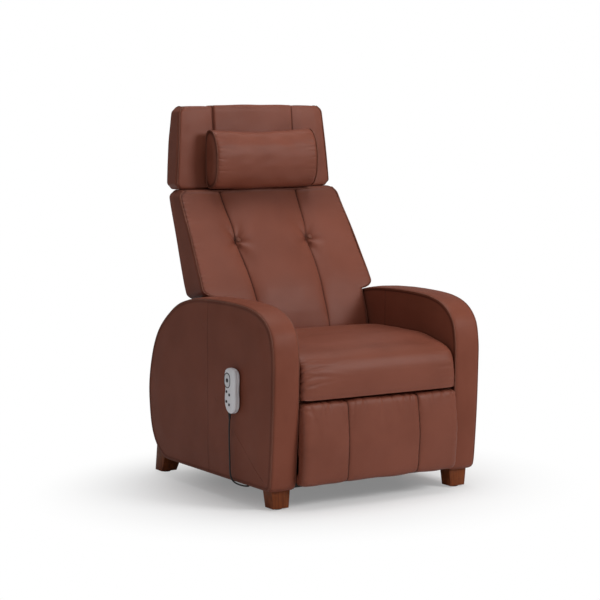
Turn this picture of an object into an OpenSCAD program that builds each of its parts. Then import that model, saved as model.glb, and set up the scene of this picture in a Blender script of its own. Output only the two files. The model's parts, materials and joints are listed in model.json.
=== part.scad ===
// Powered reclining foot-care armchair: leather upholstery over a wooden frame,
// tapered wooden feet, a footrest on folding links, a tilting headrest with a neck pillow
// and a wired handset on the outside of one arm.
// X runs across the chair, the front faces -Y, Z is up. The origin is on the floor,
// at the centre of the four floor glides.

/* [Arms] */
// Clear width between the two arms
seat_w = 532; // [500:1:580]
// Thickness of one arm
arm_t = 87; // [80:1:96]
// Length of an arm from front to back
arm_l = 731; // [715:1:745]
// Height of the top of the arm
arm_top = 567; // [558:1:575]
// Radius of the padded outer edge of an arm
arm_edge_r = 16; // [8:1:22]
// Foam and leather over the arm's frame
arm_pad = 24; // [20:1:27]

/* [Feet] */
// Distance of the foot centres outward of the arms' inner faces
foot_in = 39; // [32:1:44]
// Distance of the front feet's centres behind the front of the arms
front_foot_in = 60; // [50:1:70]
// Distance of the rear feet's centres ahead of the rear of the arms
rear_foot_in = 21; // [14:1:30]
// Height of a wooden foot
foot_h = 50; // [44:1:54]
// Width of a foot at its bottom, across the chair
foot_bottom_w = 51; // [44:1:56]
// Depth of a foot at its bottom, front to back
foot_bottom_d = 42; // [36:1:50]
// Width of a foot at its top
foot_top_w = 60; // [56:1:66]
// Depth of a foot at its top
foot_top_d = 47; // [44:1:56]
// How far the rear feet rake back from top to bottom
foot_rake = 28; // [14:1:32]
// Radius of a floor glide
glide_r = 14; // [10:1:18]
// Thickness of a floor glide
glide_h = 4; // [3:0.5:6]
// Radius of the bolt that holds a foot
foot_bolt_r = 4; // [3:0.5:5]

/* [Seat] */
// Height of the underside of the seat cushion's front
seat_bottom = 306; // [304:1:310]
// Height of the highest point of the seat cushion
seat_top = 456; // [448:1:460]
// Distance from the origin forward to the front of the seat cushion
seat_front = 397; // [392:1:399]
// Thickness of the wooden rails
rail_t = 22; // [18:1:24]
// Height of the seat frame rails
seat_rail_h = 22; // [18:1:26]
// Gap between a cushion and the arm beside it
side_gap = 4; // [3:0.5:6]
// Radius of the wire of the seat springs
spring_r = 1.9; // [1.5:0.1:2.5]

/* [Back] */
// Distance of the recline pivot behind the origin
pivot_y = 110; // [106:1:114]
// Height of the recline pivot
pivot_z = 345; // [342:1:348]
// How far each wing of the back reaches over the arm below it
wing_over = 34; // [26:1:40]
// How far each side of the back's top stands outward of the arms' inner faces
back_top_over = 16; // [4:1:24]
// Height of the top of the back
back_top = 860; // [852:1:860]
// Radius of the recline pins
pin_r = 6; // [5:0.5:8]
// Radius of a tuft button
tuft_r = 11; // [8:1:14]

/* [Headrest] */
// Height of the bottom of the headrest
head_bottom = 862; // [862:1:870]
// Height of the top of the headrest
head_top = 1117; // [1100:1:1130]
// How far each side of the headrest's bottom stands outward of the arms' inner faces
head_over = 11; // [2:1:20]
// How much narrower each side of the headrest is at its top
head_taper = 21; // [12:1:34]
// Length of the neck pillow
pillow_w = 372; // [340:1:400]
// Height of the neck pillow
pillow_h = 176; // [160:1:180]
// Thickness of the neck pillow
pillow_t = 74; // [66:1:76]

/* [Footrest] */
// Height of the bottom of the footrest panel
panel_bottom = 66; // [64:1:72]
// Height of the top of the footrest panel
panel_top = 299; // [294:1:300]
// Thickness of the footrest's wooden board
board_t = 15; // [12:1:18]
// Radius of the footrest shaft
shaft_r = 9; // [8:0.5:11]
// Thickness of the steel links
link_t = 6; // [4:0.5:7]
// Width of the steel links
link_w = 26; // [22:1:28]
// Radius of the link pins
link_pin_r = 5; // [4:0.5:6]

/* [Drives] */
// Radius of a drive's rod
rod_r = 10; // [8:0.5:11]
// Radius of a drive's outer tube
tube_r = 17; // [15:0.5:19]
// Radius of a drive's motor
motor_r = 24; // [20:1:26]
// Sideways distance of each drive from the middle of the chair
drive_x = 70; // [62:1:90]
// Length of the lever on the back that its drive pushes
back_lever_l = 90; // [86:1:94]
// Length of the crank on the footrest shaft that its drive pushes
crank_l = 45; // [42:1:48]

/* [Handset] */
// Length of the handset
handset_l = 129; // [110:1:140]
// Width of the handset
handset_w = 58; // [50:1:62]
// Thickness of the handset
handset_t = 22; // [18:1:24]
// Height of the handset's bottom above the floor
handset_z = 255; // [240:1:280]
// Distance of the handset forward of the origin
handset_y = 187; // [150:1:220]
// Diameter of the handset's cord
cord_d = 4.6; // [4:0.1:6]

/* [Hidden] */

$fn = 48;
over = 1;
seat_gap = 0.3;
run_gap = 0.05;
half_gap = seat_w / 2;
rail_end = half_gap - seat_gap;
base_z = foot_h + glide_h;
// The origin lies midway between the front and the rear feet
arm_front = (arm_l + front_foot_in - rear_foot_in) / 2;
wood = "burlywood";
leather = [0.48, 0.30, 0.23];
foot_wood = [0.40, 0.22, 0.12];
steel = "dimgray";
black = [0.08, 0.08, 0.09];

// A slab across the chair: an outline drawn in (y, z), t thick from x0 towards +X
module slab(x0, t) {
  translate([x0, 0, 0])
    rotate([90, 0, 90])
      linear_extrude(t)
        children();
}

// The same piece on both sides of the chair
module both_sides() {
  children();
  mirror([1, 0, 0])
    children();
}

// A round bar along X, centred on (y, z)
module cross_pin(x0, x1, y, z, r) {
  translate([x0, y, z])
    rotate([0, 90, 0])
      cylinder(r = r, h = x1 - x0);
}

// A flat bar with round ends between two points of the (y, z) plane
module bar_outline(a, b, w) {
  d = b - a;
  translate(a)
    circle(d = w);
  translate(b)
    circle(d = w);
  translate(a)
    rotate(atan2(d[1], d[0]))
      translate([0, -w / 2])
        square([norm(d), w]);
}

function clamp(v, lo, hi) = min(max(v, lo), hi);
function mix(a, b, f) = a + (b - a) * f;
function ease(f) = let (g = clamp(f, 0, 1)) g * g * (3 - 2 * g);

// One point of a smooth curve through four neighbours
function curve_point(a, b, c, d, f) =
  0.5 * (2 * b + (c - a) * f + (2 * a - 5 * b + 4 * c - d) * f * f + (3 * b - a - 3 * c + d) * f * f * f);

// A smooth closed outline through hand-chosen points
function smooth_ring(p, steps) = let (n = len(p))
  [for (i = [0 : n - 1], k = [0 : steps - 1])
    curve_point(p[(i + n - 1) % n], p[i], p[(i + 1) % n], p[(i + 2) % n], k / steps)];

// An outline drawn in towards a centre
function drawn_in(p, c, by) = [for (q = p) let (d = c - q) q + d * min(1, by / norm(d))];

// Faces between m rings of n points each.
// Rings run counter-clockwise in (y, z) and follow each other towards +X.
function skin_sides(n, m) = [for (i = [0 : m - 2], j = [0 : n - 1], half = [0, 1])
  let (a = i * n + j, b = i * n + (j + 1) % n, c = (i + 1) * n + (j + 1) % n, d = (i + 1) * n + j)
  half == 0 ? [a, c, b] : [a, d, c]];

// Skin over rings, with a fan on each end
module ring_skin(rings, first, last) {
  n = len(rings[0]);
  m = len(rings);
  points = concat([for (r = rings, p = r) p], [first, last]);
  start = [for (j = [0 : n - 1]) [m * n, j, (j + 1) % n]];
  finish = [for (j = [0 : n - 1]) [m * n + 1, (m - 1) * n + (j + 1) % n, (m - 1) * n + j]];
  polyhedron(points, concat(skin_sides(n, m), start, finish));
}

// Skin over rings of a long bent outline: on each end, point j is joined to point n - j across it
module rung_skin(rings) {
  n = len(rings[0]);
  m = len(rings);
  start = concat([for (j = [0 : n / 2 - 2]) [j, j + 1, n - j - 1]],
    [for (j = [1 : n / 2 - 1]) [j, n - j - 1, n - j]]);
  finish = [for (f = start) [for (k = [2 : -1 : 0]) (m - 1) * n + f[k]]];
  polyhedron([for (r = rings, p = r) p], concat(skin_sides(n, m), start, finish));
}

// A cushion: a (y, z) outline carried across the chair. Each station is [share of half width, draw-in].
// reach(q) is the half width at a point, push(s, q) moves a point in (y, z).
module cushion(outline, centre, stations, reach, push) {
  rings = [for (s = stations)
    [for (q = drawn_in(outline, centre, s[1]))
      let (m = push(s[0], q)) [s[0] * reach(q), q[0] + m[0], q[1] + m[1]]]];
  last = len(stations) - 1;
  ring_skin(rings, [stations[0][0] * reach(centre), centre[0], centre[1]],
    [stations[last][0] * reach(centre), centre[0], centre[1]]);
}

// Stations mirrored about the middle, so that a cushion is the same on both sides
function both_ways(half) = concat([for (i = [len(half) - 1 : -1 : 1]) [-half[i][0], half[i][1]]], half);

// Feet and glides
foot_x = half_gap + foot_in;
foot_y = arm_front - front_foot_in;
foot_places = [for (sx = [-1, 1], sy = [-1, 1]) [sx * foot_x, sy * foot_y]];
bolt_grip = 30;
bolt_back_share = 0.7;
foot_socket_gap = 0.1;
foot_top_out_share = 0.55;
rake_back_share = 0.58;
rear_foot_rise = 44;

// A tapered block. A rear foot rakes back to the floor and runs up to the curved underside of the arm.
module foot(sx, sy) {
  bw = foot_bottom_w / 2;
  bd = foot_bottom_d / 2;
  rear = sy > 0;
  up = rear ? rear_foot_rise : 0;
  grow = (foot_h + up) / foot_h;
  wider = foot_top_w - foot_bottom_w;
  out_x = bw + wider * foot_top_out_share * grow;
  in_x = -bw - wider * (1 - foot_top_out_share) * grow;
  front_y = -bd - (rear ? foot_rake * grow : 0);
  back_y = bd + (rear ? -foot_rake * rake_back_share * grow : foot_top_d - foot_bottom_d);
  bottom = [[-bw, -bd], [bw, -bd], [bw, bd], [-bw, bd]];
  top = [[in_x, front_y], [out_x, front_y], [out_x, back_y], [in_x, back_y]];
  points = concat([for (p = bottom) [p[0], p[1], glide_h]], [for (p = top) [p[0], p[1], base_z + up]]);
  color(foot_wood)
    difference() {
      translate([sx * foot_x, sy * foot_y, 0])
        scale([sx, 1, 1])
          polyhedron(points, [[0, 1, 2, 3], [7, 6, 5, 4], [0, 4, 5, 1], [1, 5, 6, 2],
            [2, 6, 7, 3], [3, 7, 4, 0]]);
      both_sides()
        slab(half_gap - foot_top_w, arm_t + 2 * foot_top_w)
          polygon(drawn_in(arm_outline, arm_centre, sy > 0 ? -seat_gap : 0));
      foot_bolt(sx * foot_x, sy, foot_socket_gap);
    }
}

// The bolt of a foot stands nearer the middle of its top in a raked foot
module foot_bolt(x, sy, grow) {
  low = base_z - foot_h / 2 - grow;
  high = base_z + bolt_grip + (sy > 0 ? rear_foot_rise : 0) + grow;
  translate([x, sy * foot_y - (sy > 0 ? foot_rake * bolt_back_share : 0), low])
    cylinder(r = foot_bolt_r + grow, h = high - low);
}

module floor_glides() {
  color(black)
    for (p = foot_places)
      translate([p[0], p[1], 0])
        cylinder(r = glide_r, h = glide_h);
}

module foot_bolts() {
  color(steel)
    for (sx = [-1, 1], sy = [-1, 1])
      foot_bolt(sx * foot_x, sy, 0);
}

// Arms
arm_h = arm_top - base_z;
arm_shares = [[0.075, 0], [0.04, 0.008], [0.026, 0.045], [0.016, 0.18], [0.006, 0.38], [0, 0.6],
  [0, 0.74], [0.02, 0.862], [0.078, 0.944], [0.17, 0.986], [0.3, 1], [0.46, 0.999], [0.61, 0.985],
  [0.735, 0.942], [0.83, 0.866], [0.905, 0.776], [0.952, 0.676], [0.984, 0.55], [1, 0.42],
  [0.996, 0.29], [0.978, 0.165], [0.94, 0.075], [0.885, 0.018], [0.82, 0], [0.6, 0], [0.33, 0]];
arm_outline = smooth_ring([for (s = arm_shares) [s[0] * arm_l - arm_front, base_z + s[1] * arm_h]], 2);
arm_centre = [arm_l * 0.46 - arm_front, base_z + arm_h * 0.5];
arm_frame_x = half_gap + arm_pad;
arm_frame_t = arm_t - 2 * arm_pad;
arm_rail_h = 62;
arm_rail_l = arm_l * 0.91;
arm_rail_y = -arm_front + arm_l * 0.07;
arm_bolt_r = 4;
arm_bolt_head = 3;
arm_bolt_end = arm_frame_x + arm_frame_t / 2;
arm_bolt_places = [[-150, 295], [60, 295]];

module arm_frame_outline(grow) {
  polygon(drawn_in(arm_outline, arm_centre, arm_pad - grow));
  intersection() {
    polygon(drawn_in(arm_outline, arm_centre, grow > 0 ? -over : 2 * seat_gap));
    translate([arm_rail_y - grow, base_z - grow])
      square([arm_rail_l + 2 * grow, arm_rail_h + 2 * grow]);
  }
}

module arm_frame() {
  color(wood)
    difference() {
      intersection() {
        slab(arm_frame_x, arm_frame_t)
          arm_frame_outline(0);
        translate([half_gap, -arm_l, base_z])
          cube([arm_t, 2 * arm_l, arm_h]);
      }
      for (sy = [-1, 1])
        foot_bolt(foot_x, sy, foot_socket_gap);
      arm_bolt_bores();
    }
}

module arm_bolt_bores() {
  for (p = arm_bolt_places)
    cross_pin(rail_end - rail_t - over, arm_bolt_end + seat_gap, p[0], p[1], arm_bolt_r + run_gap);
}

module arm_bolts() {
  color(steel)
    both_sides()
      for (p = arm_bolt_places) {
        cross_pin(rail_end - rail_t - arm_bolt_head, rail_end - rail_t, p[0], p[1], 2 * arm_bolt_r);
        cross_pin(rail_end - rail_t - arm_bolt_head, arm_bolt_end, p[0], p[1], arm_bolt_r);
      }
}

module arm_cover() {
  edge = arm_edge_r;
  stations = [[0, edge * 0.55], [edge * 0.12, edge * 0.25], [edge * 0.5, 0], [arm_t - edge, 0],
    [arm_t - edge * 0.4, edge * 0.2], [arm_t - edge * 0.1, edge * 0.6], [arm_t, edge * 1.3]];
  rings = [for (s = stations)
    [for (q = drawn_in(arm_outline, arm_centre, s[1])) [half_gap + s[0], q[0], max(q[1], base_z)]]];
  color(leather)
    difference() {
      ring_skin(rings, [half_gap, arm_centre[0], arm_centre[1]],
        [half_gap + arm_t, arm_centre[0], arm_centre[1]]);
      slab(arm_frame_x - seat_gap, arm_frame_t + 2 * seat_gap)
        arm_frame_outline(seat_gap);
      arm_bolt_bores();
      foot_bolt(foot_x, 1, foot_socket_gap);
    }
}

// Base rails
low_rail_z = base_z;
low_rail_h = 34;
front_rail_y = -330;
rear_panel_y = 292;
rear_panel_t = 18;
rear_panel_top = 402;
rear_rail_h = 60;
motor_rail_h = 55;
motor_rail_z = 150;
front_motor_rail_y = -205;
rear_motor_rail_y = 100;

module cross_rail(y, z, h) {
  color(wood)
    translate([-rail_end, y, z])
      cube([2 * rail_end, rail_t, h]);
}

module front_rail() {
  cross_rail(front_rail_y, low_rail_z, low_rail_h);
}

rear_rail_y = rear_panel_y - seat_gap - rail_t;

module rear_rail() {
  cross_rail(rear_rail_y, low_rail_z, rear_rail_h);
}

module rear_panel() {
  edge = 6;
  color(leather)
    difference() {
      translate([-rail_end, rear_panel_y, low_rail_z])
        cube([2 * rail_end, rear_panel_t, rear_panel_top - low_rail_z]);
      translate([0, rear_panel_y + rear_panel_t, rear_panel_top])
        rotate([45, 0, 0])
          cube([2 * seat_w, edge, edge], center = true);
      translate([inlet_x - inlet_w / 2 - seat_gap, rear_panel_y - over, inlet_z - inlet_h / 2 - seat_gap])
        cube([inlet_w + 2 * seat_gap, rear_panel_t + 2 * over, inlet_h + 2 * seat_gap]);
    }
}

deep_rail_front = -338;
deep_rail_z = 256;
deep_rail_back = 150;
lining_t = 3;
lining_top = [rear_panel_y - 1, rear_panel_top - 8];
lining_bottom = [deep_rail_back + seat_gap, 300];

module lining_board() {
  color(black)
    slab(-rail_end, 2 * rail_end)
      polygon([lining_top, lining_top - [0, lining_t], lining_bottom - [0, lining_t], lining_bottom]);
}

module bottom_cloth() {
  color(black)
    translate([-rail_end, front_rail_y + rail_t + seat_gap, low_rail_z + 1])
      cube([2 * rail_end, rear_rail_y - front_rail_y - rail_t - 2 * seat_gap, 1.2]);
}

// Seat frame
seat_frame_z = seat_bottom;
seat_frame_top = seat_frame_z + seat_rail_h;
seat_frame_front = -seat_front + 27;
seat_frame_back = 58;
shaft_y = -225;
shaft_z = 270;
bushing_r = shaft_r + 3;

module seat_side_rails() {
  color(wood)
    both_sides()
      difference() {
        slab(rail_end - rail_t, rail_t)
          polygon([[seat_frame_front, seat_frame_z], [deep_rail_front, seat_frame_z],
            [deep_rail_front, deep_rail_z], [deep_rail_back, deep_rail_z],
            [deep_rail_back, seat_frame_z - 6], [seat_frame_back, seat_frame_top],
            [seat_frame_front, seat_frame_top]]);
        cross_pin(rail_end - rail_t - over, rail_end + over, shaft_y, shaft_z, bushing_r + run_gap);
        arm_bolt_bores();
      }
}

module seat_cross_rails() {
  inner = rail_end - rail_t - seat_gap;
  color(wood) {
    translate([-inner, seat_frame_front, seat_frame_z])
      cube([2 * inner, rail_t, seat_rail_h]);
    translate([-inner, seat_frame_back - rail_t, seat_frame_z])
      cube([2 * inner, rail_t, seat_rail_h]);
  }
}

// Zigzag springs from the front cross rail to the rear one
spring_count = 5;
spring_turns = 9;
spring_z = seat_frame_z + seat_rail_h / 2;
spring_start = seat_frame_front + rail_t + spring_r + seat_gap;
spring_l = seat_frame_back - rail_t - spring_r - seat_gap - spring_start;
spring_pitch = spring_l / (2 * spring_turns);
spring_amp = 20;
spring_step = 84;

module zigzag() {
  r = spring_pitch / 2;
  last = 2 * spring_turns;
  for (i = [0 : last - 1]) {
    side = i % 2 == 0 ? 1 : -1;
    translate([side * spring_amp, (i + 0.5) * spring_pitch])
      difference() {
        circle(r = r + spring_r);
        circle(r = r - spring_r);
        translate([-side * 2 * r, 0])
          square(4 * r, center = true);
      }
  }
  for (i = [0 : last])
    translate([i == 0 ? 0 : -spring_amp, i * spring_pitch - spring_r])
      square([i == 0 || i == last ? spring_amp : 2 * spring_amp, 2 * spring_r]);
}

module seat_springs() {
  color(steel)
    for (i = [0 : spring_count - 1])
      translate([(i - (spring_count - 1) / 2) * spring_step, spring_start, spring_z])
        linear_extrude(2 * spring_r)
          zigzag();
}

// Seat cushion
seat_crown = 3;
seat_back = 62;
seat_hw = half_gap - side_gap;
seat_depth = seat_back + seat_front;
seat_h = seat_top - seat_bottom;
seat_shares = [[0.04, 0], [0.012, 0.03], [0.002, 0.16], [0, 0.36], [0.008, 0.55], [0.04, 0.725],
  [0.1, 0.83], [0.19, 0.905], [0.36, 0.982], [0.52, 1], [0.74, 1], [0.88, 0.985], [0.955, 0.95],
  [0.972, 0.86], [0.985, 0.5], [1, 0.2], [1, 0.03], [0.98, 0], [0.7, 0], [0.35, 0]];
seat_outline = smooth_ring([for (s = seat_shares)
  [s[0] * seat_depth - seat_front, seat_bottom + s[1] * seat_h]], 2);
seat_centre = [seat_depth * 0.45 - seat_front, seat_bottom + seat_h * 0.5];

module seat_cushion() {
  stations = both_ways([[0, 0], [0.3, 0], [0.6, 0], [0.82, 0], [0.93, 2], [0.98, 7], [1, 16]]);
  color(leather)
    difference() {
      cushion(seat_outline, seat_centre, stations, function(q) seat_hw,
        function(s, q) [0, -seat_crown * s * s * s * s
          * clamp((q[1] - seat_centre[1]) / (seat_h / 2), 0, 1)]);
      translate([-seat_w, seat_frame_front - 2, seat_bottom - over])
        cube([2 * seat_w, seat_depth, seat_rail_h + seat_gap + over]);
    }
}

// Recline pivot
bracket_t = 4;
frame_in = 38;
frame_hw = half_gap - frame_in;
bracket_x = rail_end - rail_t - bracket_t - seat_gap;
plate_t = 5;
plate_x = frame_hw + seat_gap;
bracket_tab = 22;
bracket_flare = 14;

module pivot_brackets() {
  low = deep_rail_z + bracket_t;
  half = bracket_tab + bracket_flare;
  color(steel)
    both_sides()
      slab(bracket_x, bracket_t)
        difference() {
          union() {
            translate([pivot_y, pivot_z])
              circle(r = bracket_tab);
            polygon([[pivot_y - bracket_tab, pivot_z], [pivot_y - half, low], [pivot_y + half, low],
              [pivot_y + bracket_tab, pivot_z]]);
          }
          translate([pivot_y, pivot_z])
            circle(r = pin_r + run_gap);
        }
}

module shaft_bushings() {
  color("ivory")
    both_sides()
      difference() {
        cross_pin(rail_end - rail_t, rail_end, shaft_y, shaft_z, bushing_r);
        cross_pin(rail_end - rail_t - over, rail_end + over, shaft_y, shaft_z, shaft_r + run_gap);
      }
}

module motor_rails() {
  cross_rail(front_motor_rail_y, motor_rail_z, motor_rail_h);
  cross_rail(rear_motor_rail_y, motor_rail_z, motor_rail_h);
}

// Drives: a tube, a gearbox and a motor that hangs below it, fixed at a lug
recline_range = 40;
lift_range = 88;
lever_swing = recline_range / 2;
crank_swing = lift_range / 2;
lever_end = [pivot_y + back_lever_l * sin(lever_swing), pivot_z - back_lever_l * cos(lever_swing)];
crank_end = [shaft_y + crank_l * sin(crank_swing), shaft_z - crank_l * cos(crank_swing)];
back_axis_z = pivot_z - back_lever_l * (1 + cos(lever_swing)) / 2;
lift_axis_z = shaft_z - crank_l * (1 + cos(crank_swing)) / 2;
back_stroke = 2 * back_lever_l * sin(lever_swing);
lift_stroke = 2 * crank_l * sin(crank_swing);
yoke_reach = 27;
yoke_block = 14;
yoke_plate_t = 5;
drive_pin_r = 5;
lever_t = 8;
yoke_gap = 0.8;
tube_l = 125;
gearbox_l = 66;
gearbox_h = 52;
gearbox_w = 48;
motor_l = 92;
lug_t = 12;
lug_r = 10;

// A drive along Y: its tube starts at y0 and points towards the rod, and dir says which way the rod goes
module drive(x, y0, z, dir, lug_y) {
  gear_y = y0 - dir * tube_l;
  translate([x, 0, 0]) {
    difference() {
      union() {
        translate([0, y0, z])
          rotate([dir * 90, 0, 0])
            cylinder(r = tube_r, h = tube_l + over);
        translate([-gearbox_w / 2, min(gear_y, gear_y - dir * gearbox_l), z - gearbox_h / 2])
          cube([gearbox_w, gearbox_l, gearbox_h]);
        translate([0, gear_y - dir * gearbox_l / 2, z - gearbox_h / 2 - motor_l])
          cylinder(r = motor_r, h = motor_l + over);
        slab(-lug_t / 2, lug_t)
          bar_outline([gear_y - dir * (gearbox_l - over), z], [lug_y, z], 2 * lug_r);
      }
      translate([0, y0 + dir * over, z])
        rotate([dir * 90, 0, 0])
          cylinder(r = rod_r + run_gap, h = tube_l + over);
      cross_pin(-lug_t, lug_t, lug_y, z, drive_pin_r + run_gap);
    }
  }
}

back_tube_y = lever_end[0] - back_stroke - yoke_reach - yoke_block - 4;
lift_tube_y = crank_end[0] + yoke_reach + yoke_block + 8;
back_lug_y = front_motor_rail_y + rail_t / 2;
lift_lug_y = rear_motor_rail_y + rail_t / 2;

module back_drive() {
  color(black)
    drive(drive_x, back_tube_y, back_axis_z, 1, back_lug_y);
}

module footrest_drive() {
  color(black)
    drive(-drive_x, lift_tube_y, lift_axis_z, -1, lift_lug_y);
}

ear_t = 4;
ear_gap = 0.5;
motor_rail_top = motor_rail_z + motor_rail_h;

module drive_bracket(x, y, z) {
  inner = lug_t / 2 + ear_gap;
  foot_t = 4;
  translate([x, 0, 0]) {
    for (s = [-1, 1])
      slab(s > 0 ? inner : -inner - ear_t, ear_t)
        union() {
          translate([y, z])
            circle(r = lug_r);
          translate([y - lug_r, motor_rail_top])
            square([2 * lug_r, z - motor_rail_top]);
        }
    translate([-inner - ear_t, y - lug_r, motor_rail_top])
      cube([2 * (inner + ear_t), 2 * lug_r, foot_t]);
    cross_pin(-inner - ear_t, inner + ear_t, y, z, drive_pin_r);
  }
}

module drive_brackets() {
  color(steel) {
    drive_bracket(drive_x, back_lug_y, back_axis_z);
    drive_bracket(-drive_x, lift_lug_y, lift_axis_z);
  }
}

// The rod of a drive with its yoke: two plates with an upright slot that a crank pin runs in
module drive_rod(x, pin_y, axis_z, z_low, z_high, dir, tail_y) {
  inner = lever_t / 2 + yoke_gap;
  slot_w = drive_pin_r + 1.4;
  front = pin_y - dir * (slot_w + 6);
  block_y = pin_y + dir * yoke_reach;
  plate_low = z_low - drive_pin_r - 7;
  plate_high = z_high + drive_pin_r + 7;
  translate([x, 0, 0]) {
    for (s = [-1, 1])
      slab(s > 0 ? inner : -inner - yoke_plate_t, yoke_plate_t)
        difference() {
          translate([min(front, block_y + dir * yoke_block), plate_low])
            square([abs(block_y + dir * yoke_block - front), plate_high - plate_low]);
          translate([pin_y - slot_w, z_low])
            square([2 * slot_w, z_high - z_low]);
          for (z = [z_low, z_high])
            translate([pin_y, z])
              circle(r = slot_w);
        }
    translate([-inner - over / 2, min(block_y, block_y + dir * yoke_block), axis_z - rod_r])
      cube([2 * inner + over, yoke_block, 2 * rod_r]);
    translate([0, block_y + dir * (yoke_block - over), axis_z])
      rotate([-dir * 90, 0, 0])
        cylinder(r = rod_r, h = abs(tail_y - block_y - dir * (yoke_block - over)));
  }
}

rod_grip = 24;

module back_rod() {
  color("silver")
    drive_rod(drive_x, lever_end[0], back_axis_z, pivot_z - back_lever_l, lever_end[1], -1,
      back_tube_y - rod_grip);
}

module footrest_rod() {
  color("silver")
    drive_rod(-drive_x, crank_end[0], lift_axis_z, shaft_z - crank_l, crank_end[1], 1,
      lift_tube_y + lift_stroke + rod_grip);
}

// Control box and mains inlet
box_w = 150;
box_h = 52;
box_d = 60;
box_x = 80;
inlet_x = 150;
inlet_z = 92;
inlet_w = 48;
inlet_h = 28;
inlet_flange = 3;
inlet_depth = 24;
socket_w = 26;
socket_h = 17;
socket_d = 16;

module control_box() {
  color(black)
    translate([box_x, rear_rail_y - seat_gap - box_d, low_rail_z + 4])
      difference() {
        cube([box_w, box_d, box_h]);
        for (i = [0 : 4])
          translate([box_w * (0.2 + 0.15 * i), -over, box_h * 0.25])
            cube([box_w * 0.05, over + 2, box_h * 0.5]);
      }
}

module power_inlet() {
  y0 = rear_panel_y + rear_panel_t;
  color(black) {
    difference() {
      union() {
        translate([inlet_x - inlet_w / 2 + 1, rear_panel_y, inlet_z - inlet_h / 2 + 1])
          cube([inlet_w - 2, rear_panel_t + over, inlet_h - 2]);
        translate([inlet_x - inlet_w / 2 - 6, y0 + seat_gap, inlet_z - inlet_h / 2 - 4])
          cube([inlet_w + 12, inlet_flange, inlet_h + 8]);
      }
      translate([inlet_x - socket_w / 2, y0 + inlet_flange - socket_d, inlet_z - socket_h / 2])
        cube([socket_w, socket_d + over, socket_h]);
    }
    for (p = [[-7, -2], [0, 3], [7, -2]])
      translate([inlet_x + p[0] - 1, y0 + inlet_flange - socket_d - over, inlet_z + p[1] - 2])
        cube([2, 9 + over, 4]);
  }
}

// Footrest linkage, from the shaft through the knee to the panel
knee = [-230, 102];
panel_pin = [-333, 244];
lift_link_in = 33;
lift_link_x = half_gap - lift_link_in;
carrier_gap = 0.6;
carrier_x = lift_link_x - link_t - carrier_gap;
footrest_plate_x = carrier_x - link_t - carrier_gap;

crank_w = 24;
crank_pin_half = 12;

module footrest_shaft() {
  color("silver") {
    cross_pin(over - rail_end, rail_end - over, shaft_y, shaft_z, shaft_r);
    slab(-drive_x - lever_t / 2, lever_t)
      bar_outline([shaft_y, shaft_z], crank_end, crank_w);
    cross_pin(-drive_x - crank_pin_half, -drive_x + crank_pin_half, crank_end[0], crank_end[1], drive_pin_r);
  }
}

module lift_links() {
  color(steel)
    both_sides()
      slab(lift_link_x, link_t)
        difference() {
          bar_outline([shaft_y, shaft_z], knee, link_w);
          translate([shaft_y, shaft_z])
            circle(r = shaft_r);
          translate(knee)
            circle(r = link_pin_r + run_gap);
        }
}

module carrier_links() {
  color(steel)
    both_sides() {
      slab(carrier_x, link_t)
        difference() {
          bar_outline(knee, panel_pin, link_w);
          translate(panel_pin)
            circle(r = link_pin_r + run_gap);
        }
      cross_pin(carrier_x, lift_link_x + link_t + 1, knee[0], knee[1], link_pin_r);
    }
}

// Footrest panel
panel_front = 410;
board_back = 346;
panel_gap = 1.5;
panel_hw = half_gap - panel_gap;
board_in = 10.5;
board_low_in = 3;
tab_w = 24;
tab_t = 3;
pad_back = -board_back - board_t - seat_gap;

module footrest_brackets() {
  color(steel)
    both_sides() {
      slab(footrest_plate_x, link_t)
        union() {
          translate(panel_pin)
            circle(d = link_w);
          polygon([[-board_back + seat_gap, panel_pin[1] - link_w], [panel_pin[0], panel_pin[1] - link_w / 2],
            [panel_pin[0], panel_pin[1] + link_w / 2], [-board_back + seat_gap, panel_pin[1] + link_w]]);
        }
      translate([footrest_plate_x - tab_w, -board_back + seat_gap, panel_pin[1] - link_w])
        cube([tab_w + over, tab_t, 2 * link_w]);
      cross_pin(footrest_plate_x, carrier_x + link_t + 1, panel_pin[0], panel_pin[1], link_pin_r);
    }
}

module footrest_board() {
  color(wood)
    translate([-panel_hw + board_in, -board_back - board_t, panel_bottom + board_low_in])
      cube([2 * (panel_hw - board_in), board_t, panel_top - panel_bottom - 2 * board_low_in]);
}

panel_h = panel_top - panel_bottom;
pad_t = panel_front + pad_back;
pad_shares = [[1, 0.02], [1, 0.3], [1, 0.7], [1, 0.98], [0.9, 1], [0.5, 0.998], [0.28, 0.97], [0.16, 0.86],
  [0.06, 0.6], [0.04, 0.4], [0.14, 0.16], [0.26, 0.05], [0.5, 0.002], [0.9, 0]];
pad_outline = smooth_ring([for (s = pad_shares)
  [-panel_front + s[0] * pad_t, panel_bottom + s[1] * panel_h]], 2);
pad_centre = [-panel_front + pad_t * 0.6, panel_bottom + panel_h * 0.5];
pad_seam = 117;
pad_seam_w = 9;
pad_seam_d = 6;

function seam_dent(x, seam, w, d) = d * (1 - ease(abs(abs(x) - seam) / w));

module footrest_pad() {
  s0 = pad_seam / panel_hw;
  dw = pad_seam_w / panel_hw;
  stations = both_ways([[0, 0], [s0 * 0.55, 0], [s0 - dw, 0], [s0, 0], [s0 + dw, 0], [0.66, 0],
    [0.85, 1], [0.95, 5], [1, 15]]);
  color(leather)
    cushion(pad_outline, pad_centre, stations, function(q) panel_hw,
      function(s, q) let (front = clamp((pad_centre[0] - q[0]) / (pad_t * 0.5), 0, 1))
        [front * seam_dent(s * panel_hw, pad_seam, pad_seam_w, pad_seam_d), 0]);
}

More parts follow.
